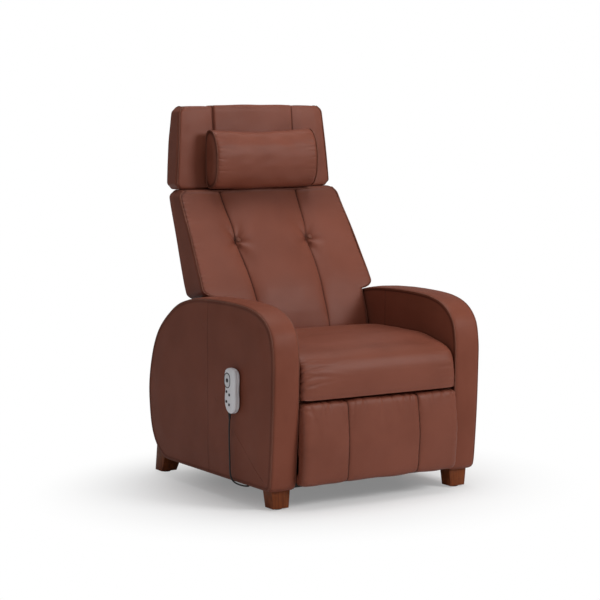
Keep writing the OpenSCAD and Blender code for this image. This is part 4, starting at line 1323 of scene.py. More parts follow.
def side_caps(rings: Array, centre: Pair, bulge: float, steps: int) -> tuple[Array, Array]:
    """Side panels of a lofted cushion: each end ring shrinks to the centre and swells outwards.

    Args:
        rings: The cushion's rings.
        centre: Middle of the panel in (y, z).
        bulge: How far the middle stands out.
        steps: Rings in each panel.

    Returns:
        The grids of the first and the last panel.
    """
    f = np.linspace(0.0, 1.0, steps)[:, None, None]
    middle = np.array([0.0, centre[0], centre[1]])
    made = []
    for ring in (rings[0], rings[-1]):
        x = ring[:, 0].mean()
        goal = middle + np.array([x, 0.0, 0.0])
        grid = ring[None] * (1 - f) + goal * f
        swell = np.sin(np.clip(f[..., 0] * 2.2, 0, 1) * math.pi / 2)
        grid[..., 0] += math.copysign(bulge, x) * swell
        made.append(grid)
    return made[0], made[1]


def upholster(piece: bpy.types.Object, relief: Change, shade: Optional[Rule], body: Body, node: str,
              finish: Finish = Finish.LEATHER) -> None:
    """Gives a padded piece its relief, the painted shade of its seams, its leather and the body it
    rides on.

    Args:
        piece: The piece.
        relief: Moves its points.
        shade: How dark the painted shade of its seams is at each point.
        body: The body that it rides on.
        node: The CAD node that it replaces.
        finish: Its leather.
    """
    reshape(piece, relief)
    # Painted shade: the darkness of valleys and hollows is stored on the piece for its leather.
    if shade:
        paint(piece, "crease", shade)
    dress(piece, finish, body, node)


@dataclass
class Arms:
    """Both arms: a padded band round a D-shaped panel, with a welt at each edge, in millimetres.

    Attributes:
        inner: X of the inner face.
        thick: Thickness of an arm.
        front: Distance of the front behind which the shares run.
        length: Length from front to back.
        top: Height of the top.
        low: Height of the underside.
        shares: Outline as shares of the length and height.
        panel: Middle of the side panels in (y, z).
        hollow: How far the inner panel sinks in.
        bulge: How far the outer panel stands out.
        welt: Radius of the welts.
        count: Points round the outline.
    """

    inner: float = 266.0
    thick: float = 87.0
    front: float = -385.0
    length: float = 731.0
    top: float = 567.0
    low: float = 54.0
    shares: tuple[Pair, ...] = (
        (0.075, 0), (0.04, 0.008), (0.026, 0.045), (0.016, 0.18), (0.006, 0.38), (0, 0.6),
        (0, 0.74), (0.02, 0.862), (0.078, 0.944), (0.17, 0.986), (0.3, 1), (0.46, 0.999),
        (0.61, 0.985), (0.735, 0.942), (0.83, 0.866), (0.905, 0.776), (0.952, 0.676), (0.984, 0.55),
        (1, 0.42), (0.996, 0.29), (0.978, 0.165), (0.94, 0.075), (0.885, 0.018), (0.82, 0),
        (0.6, 0), (0.33, 0))
    panel: Pair = (-35.0, 305.0)
    hollow: float = 1.0
    bulge: float = 2.6
    welt: float = 2.5
    count: int = 460

    def outline(self) -> Array:
        """The arm's outline in (y, z), flat underneath."""
        edge = from_shares(
            self.shares, (self.front, self.low), (self.length, self.top - self.low), self.count)
        edge[:, 1] = np.maximum(edge[:, 1], self.low)
        return edge

    def build(self) -> None:
        """Makes both arms."""
        for side in Side:
            self.one(side)

    def one(self, side: Side) -> None:
        """Makes one arm: the band and panels as one closed shell, and two welts.

        Args:
            side: Which arm.
        """
        edge = self.outline()
        w = self.thick
        band = [
            (1.0, 9.5), (0.2, 7.0), (1.6, 4.6), (4.2, 2.4), (8.0, 1.0), (14.0, 0.3), (22.0, 0.0),
            (32.0, -0.6), (44.0, -0.9), (56.0, -0.6), (66.0, 0.0), (w - 13, 0.4), (w - 8.5, 1.2),
            (w - 5.0, 2.6), (w - 3.2, 4.4), (w - 1.6, 6.6), (w - 0.6, 9.0), (w - 1.2, 11.5)]
        rings = loft(edge, [(self.inner + x, inset) for x, inset in band])
        near, far = side_caps(rings, self.panel, 0.0, 60)
        near[..., 0] -= self.hollow * smooth(edge_distance(near[..., 1:], edge), 10.0, 60.0)
        far[..., 0] += self.bulge * smooth(edge_distance(far[..., 1:], edge), 11.0, 75.0)
        grids = [grid * side.mirror for grid in (rings, near, far)]
        piece = Shell().rings(*grids).object(f"arm_{side.tag}_upholstery")
        upholster(piece, lambda p, n: self.relief(p, n, side), self.seam_shade, Body.BASE,
                  f"arm_cover_{side.tag}", Finish.ARM_LEATHER)
        for tag, x, inset in (("outer", w - 3.6, 5.0), ("inner", 2.6, 4.8)):
            path = loft(edge, [(self.inner + x, inset)])[0] * side.mirror
            welt = tube(f"arm_{side.tag}_{tag}_welt", path, self.welt, 10, closed=True)
            dress(welt, Finish.WELT, Body.BASE)

    def seam_shade(self, p: Array) -> Array:
        """Painted shade in the valleys beside both welts."""
        x = np.abs(p[:, 0]) - self.inner
        far = edge_distance(p[:, 1:], self.outline())
        rim = 0.7 * bell(far - 3.0, 0.9) * (x < self.thick - 3.5)
        outer = (x > self.thick / 2) * (bell(far - 10.2, 1.5) + rim)
        return (outer + (x < self.thick / 2) * bell(far - 9.6, 1.5)) * 0.8

    def relief(self, p: Array, n: Array, side: Side) -> Array:
        """Slow unevenness of padded leather, and pulls across the band at the top.

        Args:
            p: Points.
            n: Normals.
            side: Which arm.

        Returns:
            Moved points.
        """
        amount = 0.55 * waves(p, 11 + side.value, 150.0)
        amount += 0.22 * waves(p, 13 + side.value, 45.0, (2.5, 1.0, 1.0))
        x = np.abs(p[:, 0]) - self.inner
        band = smooth(x, 6.0, 26.0) * smooth(self.thick - x, 6.0, 26.0)
        steady = smooth(p[:, 2], self.low + 2.0, self.low + 30.0)
        return p + n * ((amount - 0.2) * (0.35 + 0.65 * band) * steady)[:, None]


@dataclass
class SeatCushion:
    """The seat: a boxed cushion with a rolled front and gathers at its ends, in millimetres.

    Attributes:
        half: Half of its width.
        front: Its front.
        back: Its back.
        low: Its underside.
        top: Its crown.
        crown: How much lower its ends are.
        corner: How far its front corners lie back.
        brow: Height, y and width of each swell along its front edge.
        brow_low: Height above which they lie.
        shares: Outline as shares of its depth and height.
        panel: Middle of its ends in (y, z).
        roll: Distance from its end and inset of each rolled ring.
    """

    half: float = 262.0
    front: float = -397.0
    back: float = 62.0
    low: float = 306.0
    top: float = 456.0
    crown: float = 3.0
    corner: float = 5.0
    brow: tuple[Point, ...] = ((2.6, -352.0, 20.0), (-2.2, -300.0, 26.0))
    brow_low: float = 400.0
    shares: tuple[Pair, ...] = (
        (0.04, 0), (0.012, 0.03), (0.002, 0.16), (0, 0.36), (0.008, 0.55), (0.04, 0.725),
        (0.1, 0.83), (0.19, 0.905), (0.36, 0.982), (0.52, 1), (0.74, 1), (0.88, 0.985),
        (0.955, 0.95), (0.972, 0.86), (0.985, 0.5), (1, 0.2), (1, 0.03), (0.98, 0), (0.7, 0),
        (0.35, 0))
    panel: Pair = (-160.0, 368.0)
    roll: tuple[Pair, ...] = ((0.0, 14.0), (1.2, 9.5), (4.0, 5.2), (9.0, 2.2), (17.0, 0.7))

    def build(self) -> None:
        """Makes the seat cushion: rings across the chair with rolled ends, then its relief."""
        edge = from_shares(
            self.shares, (self.front, self.low), (self.back - self.front, self.top - self.low), 330)
        plain = np.linspace(28.0 - self.half, self.half - 28.0, 110)
        rings = loft(edge, across(self.half, self.roll, plain))
        caps = side_caps(rings, self.panel, 1.0, 12)
        piece = Shell().rings(rings, *caps).object("seat_cushion_leather")
        upholster(piece, self.relief, None, Body.BASE, "seat_cushion")

    def relief(self, p: Array, n: Array) -> Array:
        """Crown, end gathers and unevenness.

        Args:
            p: Points.
            n: Normals.

        Returns:
            Moved points.
        """
        x, y, z = p[:, 0], p[:, 1], p[:, 2]
        share = np.abs(x) / self.half
        mid = (self.low + self.top) / 2
        tall = (self.top - self.low) / 2
        upper, lower = np.clip((z - mid) / tall, 0.0, 1.0), np.clip((mid - z) / tall, 0.0, 1.0)
        out = p.copy()
        out[:, 2] -= self.crown * share**4 * upper
        out[:, 1] += self.corner * share**4 * smooth(-y, 300.0, 390.0) * (1 - lower)
        along = z + y
        away = self.half - np.abs(x)
        shown = smooth(z, self.low + 4, self.low + 22) * smooth(-y, -60.0, 40.0)
        left = folded(gathers(3, -92.0, 60.0, 13.0, 4.0, 60.0), along, away) * (x < 0)
        right = folded(gathers(8, -92.0, 60.0, 15.0, 3.0, 46.0), along, away) * (x > 0)
        slow = 1.1 * waves(p, 21, 170.0, (1.6, 1.0, 1.0))
        slow += 0.35 * waves(p, 22, 60.0, (3.0, 1.0, 1.0))
        edge = sum(high * bell(y - at, wide) for high, at, wide in self.brow)
        edge = edge * (z > self.brow_low) * (1 - share**6)
        out += n * ((slow + edge - left - right) * shown)[:, None]
        out[:, 1] = np.maximum(out[:, 1], self.front - 3.0)
        return out


@dataclass
class FootrestPad:
    """The footrest's padding: three panels, two upright seams and gathers, in millimetres.

    Attributes:
        half: Half of its width.
        front: Its front.
        back: Where it meets its board.
        low: Its bottom.
        top: Its top.
        seam: Half the distance between the seams.
        seam_shift: X of the middle between the seams.
        panel: Middle of its ends in (y, z).
        shares: Outline as shares of its thickness and height.
        roll: Distance from its end and inset of each rolled ring.
        beside: Distances of the extra columns beside a seam.
        stitch: Depth and width of the sewn line at a seam.
        hollow: Depth and width of the valley round it.
    """

    half: float = 264.5
    front: float = -410.0
    back: float = -361.3
    low: float = 66.0
    top: float = 299.0
    seam: float = 120.5
    seam_shift: float = 6.5
    panel: Pair = (-375.3, 182.0)
    shares: tuple[Pair, ...] = (
        (1, 0.02), (1, 0.3), (1, 0.7), (1, 0.98), (0.9, 1), (0.5, 0.998), (0.28, 0.97),
        (0.16, 0.86), (0.06, 0.6), (0.04, 0.4), (0.14, 0.16), (0.26, 0.05), (0.5, 0.002), (0.9, 0))
    roll: tuple[Pair, ...] = (
        (0.0, 13.0), (0.8, 10.0), (2.6, 6.6), (5.6, 3.7), (9.8, 1.6), (15.0, 0.4))
    beside: tuple[float, ...] = (-9, -6, -4, -2.6, -1.4, -0.6, 0, 0.6, 1.4, 2.6, 4, 6, 9)
    stitch: Pair = (3.2, 4.5)
    hollow: Pair = (2.2, 22.0)

    def off_seam(self, x: Array) -> Array:
        """Distance from the nearer seam."""
        return np.abs(np.abs(x - self.seam_shift) - self.seam)

    def columns(self) -> Array:
        """X of the columns, closer together beside the seams and at the ends."""
        x = np.linspace(-1.0, 1.0, 170) * self.half
        near = np.concatenate([self.seam_shift + side.value * self.seam + np.array(self.beside)
                               for side in Side])
        keep = x[(self.off_seam(x) > 10.5) & (np.abs(x) < self.half - 20)]
        return np.unique(np.concatenate([keep, near]))

    def build(self) -> None:
        """Makes the pad and its upright seams."""
        edge = from_shares(
            self.shares, (self.front, self.low), (self.back - self.front, self.top - self.low), 300)
        rings = loft(edge, across(self.half, self.roll, self.columns()))
        caps = side_caps(rings, self.panel, 0.6, 8)
        piece = Shell().rings(rings, *caps).object("footrest_leather")
        upholster(piece, self.relief, self.shade, Body.FOOTREST, "footrest_pad")

    def shade(self, p: Array) -> Array:
        """Painted shade in the valleys at the two seams."""
        return bell(self.off_seam(p[:, 0]), 1.5) * smooth(-p[:, 1], -self.back, -self.back + 12.0)

    def relief(self, p: Array, n: Array) -> Array:
        """Valleys at the seams, soft panels between them, and gathers hanging from the top edge.

        Args:
            p: Points.
            n: Normals.

        Returns:
            Moved points.
        """
        x, y, z = p[:, 0], p[:, 1], p[:, 2]
        off = self.off_seam(x)
        front = smooth(self.back - y, 3.0, 18.0)
        valley = groove(off, self.stitch) + groove(off, self.hollow)
        drop = self.top - z
        tops = folded(gathers(31, -262.0, 262.0, 30.0, 1.9, 46.0), x, drop)
        pucker = 0.5 * waves(p, 33, 14.0, (2.0, 1.0, 1.0)) * np.exp(-off / 9.0)
        slow = 0.9 * waves(p, 34, 130.0) + 0.3 * waves(p, 35, 50.0, (1.0, 1.0, 2.5))
        ends = folded(gathers(36, self.low, self.top, 36.0, 1.2, 34.0), z, self.half - np.abs(x))
        amount = (slow - valley - tops - pucker - ends) * front
        out = p + n * amount[:, None]
        out[:, 1] = np.maximum(out[:, 1], self.front - 4.0)
        out[:, 0] = np.clip(out[:, 0], -self.half, self.half)
        return out


@dataclass
class Upright:
    """A leaning boxed cushion built from matching front and rear rows.

    Attributes:
        front: Front points (z, y) from bottom to top.
        rear: Rear points (z, y) from bottom to top.
        rows: Rows of points up the front.
        sides: Points across each side panel.
        roll: Radius at the edges of the front.
        slope: Drop of the side panels' rows from front to rear, for each millimetre.
        level: Height below the top over which the rows turn level.
        ends: Points round the bottom and round the top.
        square: Power of sine and cosine there: 1 is round, and less is squarer.
    """

    front: Sequence[Pair]
    rear: Sequence[Pair]
    rows: int
    sides: int
    roll: float
    slope: float = 0.0
    level: float = 90.0
    ends: int = 12
    square: float = 0.4

    def faces(self) -> tuple[Array, Array]:
        """Front and rear rows in (y, z), which meet at the bottom and the top.

        Returns:
            Two arrays of the same length.
        """
        f = open_curve([(y, z) for z, y in self.front], self.rows)
        r = open_curve([(y, z) for z, y in self.rear], 900)
        leaning, plain = (
            np.stack([np.interp(f[:, 1] + s * f[:, 0], r[:, 1] + s * r[:, 0], r[:, k])
                      for k in (0, 1)], axis=1) for s in (self.slope, 0.0))
        near_top = smooth(f[:, 1], f[-1, 1] - self.level, f[-1, 1])[:, None]
        r = leaning * (1.0 - near_top) + plain * near_top
        low, high = (f[0] + r[0]) / 2, (f[-1] + r[-1]) / 2
        bend = np.linspace(0.0, math.pi / 2, self.ends, endpoint=False)[:, None]
        out, up = np.sin(bend) ** self.square, np.cos(bend) ** self.square * np.array([0.0, 1.0])
        parts = []
        for line in (f, r):
            foot = low + (line[0] - low) * out - self.rise(line[0] - low) * up
            head = high + (line[-1] - high) * out[::-1] + self.rise(line[-1] - high) * up[::-1]
            parts.append(np.vstack([foot, line, head]))
        return parts[0], parts[1]

    def rise(self, half: Array) -> float:
        """How far the top and the bottom bulge past the last row."""
        return min(self.roll, float(np.linalg.norm(half)))

    def shell(self, columns: Array, place: Callable[[Array, Array, Array], Array]) -> Shell:
        """Builds the closed shell.

        Args:
            columns: Stations across, from -1 to 1 as the place function reads them.
            place: Gives x from stations, y and z.

        Returns:
            The shell, with its side panels.
        """
        front, rear = self.faces()
        shell = Shell()
        edges = []
        for line, depth in ((front, 1.0), (rear, 0.6)):
            towards = (rear if line is front else front) - line
            gap = np.maximum(np.linalg.norm(towards, axis=1), 1e-6)[:, None]
            towards = towards / gap
            away = (1.0 - np.abs(columns))[None, :, None]
            half = place(np.ones(1), line[:, :1], line[:, 1:])
            dist = away * np.abs(half)[..., None]
            r = np.minimum(self.roll * depth, gap[:, None, :] * 0.45)
            q = np.clip(1.0 - dist / r, 0.0, 1.0)
            inset = r * (1.0 - np.sqrt(1.0 - q**2))
            yz = line[:, None, :] + towards[:, None, :] * inset
            x = place(columns[None, :], yz[..., 0], yz[..., 1])
            grid = np.concatenate([x[..., None], yz], axis=2)
            shell.patch(grid)
            edges.append((grid[:, 0], grid[:, -1]))
        w = np.linspace(0.0, 1.0, self.sides)[None, :, None]
        for k in (0, 1):
            a, b = edges[0][k][:, None, :], edges[1][k][:, None, :]
            shell.patch(a * (1 - w) + b * w)
        return shell


# Shares of the half width: extra columns beside a seam and at the ends, and where plain ones stop.
SEAM_STEPS = np.array([0.6, 1.5, 2.8, 4.6, 7.0, 10.0]) * 0.0038
END_STEPS = (0.0, 0.0006, 0.002, 0.004, 0.007, 0.011, 0.016, 0.022, 0.03)
CLEAR_OF_SEAM = 0.042
CLEAR_OF_END = 0.965


def stations(seam: float, count: int) -> Array:
    """Columns from -1 to 1 with extra ones beside the seams at plus and minus seam and at the ends.

    Args:
        seam: Share of the half width where the seams lie.
        count: Columns spread evenly.

    Returns:
        The sorted columns.
    """
    plain = np.linspace(-1.0, 1.0, count)
    extra = np.concatenate([s.value * seam + np.array([0.0, *SEAM_STEPS, *-SEAM_STEPS])
                            for s in Side])
    ends = 1.0 - np.array(END_STEPS)
    keep = plain[(np.abs(np.abs(plain) - seam) > CLEAR_OF_SEAM) & (np.abs(plain) < CLEAR_OF_END)]
    return np.unique(np.concatenate([keep, extra, ends, -ends]))


@dataclass
class BackCushion:
    """The back: three channels, two tufts, wings over the arms and boxed sides, in millimetres.

    Attributes:
        low_half: Half width between the arms.
        wing_half: Half width just above the arms.
        top_half: Half width at the top.
        wing_low: Level where the wings start.
        wing_high: Level where they have their full width.
        top: Height of its top.
        seam_share: Station of the seams.
        seam_x: X of the right-hand seam at its bottom and its top.
        seam_levels: Heights between which the seam leans.
        tuft: X, y and z of the right-hand tuft.
        lean: Lean of the front at the tufts, in degrees.
        front: Height and y of points up the front.
        rear: Height and y of points up the rear.
        plane: Height, y and slope of the rear face.
        button: Radius and height of the button's turned profile.
        button_off: From the button's middle to the tuft.
        welt: Radius of the welt.
        welt_rows: Rows of the front where it starts and ends.
        lumbar: How far the small of the back stands out, its height and its width.
        stitch: Depth and width of the sewn line at a seam.
        hollow: Depth and width of the valley round it.
        swell: How far the middle channel stands out.
        pinch: Depth and width of a tuft.
        pull: Depth and reach of the creases round a tuft.
        pulls: How many creases there are.
    """

    low_half: float = 259.0
    wing_half: float = 300.0
    top_half: float = 282.0
    wing_low: float = 556.0
    wing_high: float = 580.0
    top: float = 860.0
    seam_share: float = 0.46
    seam_x: Pair = (119.0, 137.0)
    seam_levels: Pair = (537.0, 860.0)
    tuft: Point = (127.0, 191.0, 713.0)
    lean: float = 33.0
    front: tuple[Pair, ...] = (
        (360, 66), (400, 60), (440, 54), (490, 66), (526, 79), (556, 91), (576, 100), (604, 115),
        (650, 143), (700, 173), (750, 205), (804, 243), (849.8, 271))
    rear: tuple[Pair, ...] = (
        (350, 110), (460, 160), (560, 206), (700, 270), (835, 333), (850.2, 331))
    plane: Point = (340.0, 104.0, 0.461)
    button: tuple[Pair, ...] = (
        (0.0, 1.9), (3.0, 1.8), (5.4, 1.2), (7.0, 0.1), (7.4, -1.4), (6.6, -3.2), (4.0, -4.4),
        (0.0, -4.6))
    button_off: Point = (0.0, 6.6, 1.0)
    welt: float = 2.5
    welt_rows: tuple[int, int] = (14, -10)
    lumbar: Point = (2.0, 505.0, 60.0)
    stitch: Pair = (4.6, 3.6)
    hollow: Pair = (8.5, 32.0)
    swell: float = 5.0
    pinch: Pair = (15.0, 21.0)
    pull: Pair = (3.2, 46.0)
    pulls: float = 5.0

    def reach(self, y: Array, z: Array) -> Array:
        """Half width: level between the arms, a quarter circle out to the wings, then a taper.

        Args:
            y: Distances behind the origin.
            z: Heights.

        Returns:
            Half widths.
        """
        level = z + 0.2 * (y - 90.0)
        f = np.clip((level - self.wing_low) / (self.wing_high - self.wing_low), 0.0, 1.0)
        step = np.sqrt(np.clip(1.0 - (1.0 - f) ** 2, 0.0, 1.0))
        up = np.clip((z - self.wing_high) / (self.top - self.wing_high), 0.0, 1.0)
        wing = self.wing_half + (self.top_half - self.wing_half) * up
        corner = 20.0 * smooth(z, self.top - 30.0, self.top + 6.0) ** 2
        return self.low_half + (wing - self.low_half) * step - corner

    def seam(self, z: Array) -> Array:
        """X of the right-hand seam at each height."""
        return np.interp(z, self.seam_levels, self.seam_x)

    def x(self, u: Array, y: Array, z: Array) -> Array:
        """X of a station: the middle panel up to the seam, the side panel beyond it."""
        a = np.abs(u)
        inner = a / self.seam_share * self.seam(z)
        beyond = (a - self.seam_share) / (1.0 - self.seam_share)
        outer = self.seam(z) + beyond * (self.reach(y, z) - self.seam(z))
        return np.sign(u) * np.where(a <= self.seam_share, inner, outer)

    def build(self) -> None:
        """Makes the back cushion, its welts and its buttons."""
        form = Upright(self.front, self.rear, rows=200, sides=24, roll=11.0, slope=0.2)
        shell = form.shell(stations(self.seam_share, 120), self.x)
        piece = shell.object("back_cushion_leather", join=0.05)
        upholster(piece, self.relief, self.shade, Body.BACK, "back_cushion")
        self.welts(form)
        self.buttons()

    def relief(self, p: Array, n: Array) -> Array:
        """Channels, tufts with their pulls, and slow unevenness, all on the front.

        Args:
            p: Points.
            n: Normals.

        Returns:
            Moved points.
        """
        x, y, z = p[:, 0], p[:, 1], p[:, 2]
        front = smooth(-n[:, 1], 0.15, 0.6)
        off = np.abs(np.abs(x) - self.seam(z))
        height = smooth(z, 440.0, 560.0)
        deep, wide = self.hollow
        valley = groove(off, self.stitch) + deep * np.exp(-((off / wide) ** 1.3))
        valley = valley * (0.35 + 0.65 * height)
        swell = self.swell * dome(x, self.seam(z)) * smooth(z, 430.0, 600.0)
        cx, cz = np.abs(x) - self.tuft[0], z - self.tuft[2]
        r = np.hypot(cx, cz * 0.8)
        angle = np.arctan2(cz, cx * np.sign(x))
        pinch = self.pinch[0] * np.exp(-((r / self.pinch[1]) ** 1.25))
        pulls = self.pull[0] * bell(r, self.pull[1]) * smooth(r, 3.0, 12.0)
        pulls = pulls * np.cos(self.pulls * angle + 0.8)
        slow = 1.6 * waves(p, 41, 210.0) + 0.5 * waves(p, 42, 75.0, (1.0, 1.0, 2.0))
        most, middle, tall = self.lumbar
        lumbar = most * bell(z - middle, tall)
        away = self.reach(y, z) - np.abs(x)
        side = folded(gathers(43, 590.0, 850.0, 17.0, 1.5, 26.0), z, away)
        amount = (slow + swell + lumbar - valley - pinch - pulls - side) * front
        boxed = smooth(np.abs(n[:, 0]), 0.6, 0.95)
        return p + n * (amount + boxed * (0.8 + 0.6 * waves(p, 44, 120.0)))[:, None]

    def shade(self, p: Array) -> Array:
        """Painted shade in the seams' valleys, in the tufts and beside the welt, and painted shadow
        at the top.
        """
        off = np.abs(np.abs(p[:, 0]) - self.seam(p[:, 2]))
        r = np.hypot(np.abs(p[:, 0]) - self.tuft[0], p[:, 2] - self.tuft[2])
        low, start, slope = self.plane
        rear = start + (p[:, 2] - low) * slope
        front = smooth(rear - p[:, 1], 22.0, 34.0)
        away = self.reach(p[:, 1], p[:, 2]) - np.abs(p[:, 0])
        # Painted shadow: the top of the back darkens upwards, as under the headrest and pillow.
        under = 0.3 * smooth(p[:, 2], 745.0, self.top)
        seams = bell(off, 1.7) * 0.9 + bell(r, 8.0) * 0.8 + bell(away - 5.5, 1.5) * 0.7
        return (seams + under) * front

    def welts(self, form: Upright) -> None:
        """The welt round the front of the back, up both sides and across the top.

        Args:
            form: The form whose edge it follows.
        """
        front = form.faces()[0][slice(*self.welt_rows)]
        y, z = front[:, 0] + 3.2, front[:, 1]
        up = np.column_stack([self.reach(y, z) - 1.6, y, z])
        other = up[::-1] * Side.LEFT.mirror
        top = np.linspace(up[-1], other[0], 120)[1:-1]
        path = np.vstack([up, top, other])
        welt = tube("back_edge_welt", even(path, 620, False), self.welt, 10)
        dress(welt, Finish.WELT, Body.BACK)

    def buttons(self) -> None:
        """Two leather buttons drawn into the tufts: a dome turned about the face's direction."""
        tilt = math.radians(self.lean)
        out = np.array([0.0, -math.cos(tilt), math.sin(tilt)])
        up = np.array([0.0, math.sin(tilt), math.cos(tilt)])
        radius, high = np.array(self.button).T[:, :, None, None]
        turn = np.linspace(0, 2 * math.pi, 40, endpoint=False)[None, :, None]
        around = np.cos(turn) * np.array([1.0, 0.0, 0.0]) + np.sin(turn) * up
        for side in Side:
            middle = (np.array(self.tuft) - self.button_off) * side.mirror
            shell = Shell().rings(middle + out * high + radius * around)
            piece = shell.object(f"tuft_button_{side.tag}")
            dress(piece, Finish.WELT, Body.BACK, "tuft_buttons")


@dataclass
class HeadrestCushion:
    """The headrest: boxed sides, a raised middle panel that rolls over the top, in millimetres.

    Attributes:
        low: Its bottom.
        top: Its top.
        low_half: Half width at the bottom.
        top_half: Half width at the top.
        seam: X of the middle panel's edges.
        seam_share: Station of those edges.
        front: Height and y of points up the front.
        rear: Height and y of points up the rear.
        stitch: Depth and width of the line at the panel's edges.
        raised: How far the middle panel stands out.
        swell: How much further its middle stands out.
        soft: How far the side panels swell.
        over_low: Height above which the middle panel rolls over the top.
        shade_end: Y behind which no seam is shaded.
        welt: Radius of the welts.
        welt_rows: Rows of the front where they start and end.
    """

    low: float = 862.0
    top: float = 1116.0
    low_half: float = 277.0
    top_half: float = 256.0
    seam: float = 141.5
    seam_share: float = 0.54
    front: tuple[Pair, ...] = (
        (872.1, 298), (920, 299), (980, 302), (1040, 307), (1090, 312), (1102, 314))
    rear: tuple[Pair, ...] = ((872.1, 364), (950, 370), (1010, 372), (1070, 369), (1102, 365))
    stitch: Pair = (2.4, 2.2)
    raised: float = 6.0
    swell: float = 2.0
    soft: float = 3.0
    over_low: float = 1080.0
    shade_end: float = 345.0
    welt: float = 2.4
    welt_rows: tuple[int, int] = (14, -8)

    def reach(self, z: Array) -> Array:
        """Half width, tapering to the top, with rounded corners."""
        f = np.clip((z - self.low) / (self.top - self.low), 0.0, 1.0)
        corner = 16.0 * smooth(z, self.top - 32.0, self.top + 2.0) ** 2
        corner = corner + 13.0 * smooth(-z, -self.low - 24.0, -self.low) ** 2
        return self.low_half + (self.top_half - self.low_half) * f - corner

    def x(self, u: Array, y: Array, z: Array) -> Array:
        """X of a station, the same at every y, with the seams at a fixed x."""
        a, cut = np.abs(u), self.seam_share
        outer = self.seam + (a - cut) / (1.0 - cut) * (self.reach(z) - self.seam)
        return np.sign(u) * np.where(a <= cut, a / cut * self.seam, outer)

    def build(self) -> None:
        """Makes the headrest and its welts."""
        form = Upright(self.front, self.rear, rows=120, sides=20, roll=11.0)
        shell = form.shell(stations(self.seam_share, 110), self.x)
        piece = shell.object("headrest_leather", join=0.05)
        upholster(piece, self.relief, self.shade, Body.HEADREST, "headrest_cushion")
        front = form.faces()[0][slice(*self.welt_rows)]
        y, z = front[:, 0] + 5.6, front[:, 1]
        x = self.reach(z) - 4.0 - 4.0 * smooth(z, self.top - 14.0, self.top - 4.0)
        up = np.column_stack([x, y, z])
        for side in Side:
            welt = tube(f"headrest_{side.tag}_welt", up * side.mirror, self.welt, 10)
            dress(welt, Finish.WELT, Body.HEADREST)

    def relief(self, p: Array, n: Array) -> Array:
        """The raised middle panel with its steep edges, soft side panels and slow unevenness.

        Args:
            p: Points.
            n: Normals.

        Returns:
            Moved points.
        """
        x, z = p[:, 0], p[:, 2]
        front = smooth(-n[:, 1], 0.1, 0.55)
        over = smooth(n[:, 2], 0.3, 0.8) * (z > self.over_low)
        inside = smooth(self.seam - np.abs(x), -1.0, 5.0)
        off = np.abs(np.abs(x) - self.seam)
        valley = groove(off, self.stitch) * (1 - 0.5 * inside)
        swell = self.swell * dome(x, self.seam)
        soft = self.soft * smooth(np.abs(x), self.seam, self.seam + 40.0)
        soft = soft * smooth(self.reach(z) - np.abs(x), 0.0, 40.0)
        slow = 0.9 * waves(p, 51, 150.0) + 0.3 * waves(p, 52, 55.0)
        rise = self.raised * inside + swell + soft - valley + slow - 3.0
        amount = rise * front + (rise * 0.45 - 0.5) * over * (1.0 - front)
        boxed = smooth(np.abs(n[:, 0]), 0.6, 0.95)
        return p + n * (amount + boxed * (0.6 + 0.6 * waves(p, 53, 90.0)))[:, None]

    def shade(self, p: Array) -> Array:
        """Painted shade in the valleys at the edges of the middle panel and beside the welts."""
        off = np.abs(np.abs(p[:, 0]) - self.seam - 1.4)
        away = self.reach(p[:, 2]) - np.abs(p[:, 0])
        dark = bell(off, 1.7) * 0.85 + bell(away - 5.5, 1.5) * 0.7
        return dark * smooth(self.shade_end - p[:, 1], 0.0, 12.0)


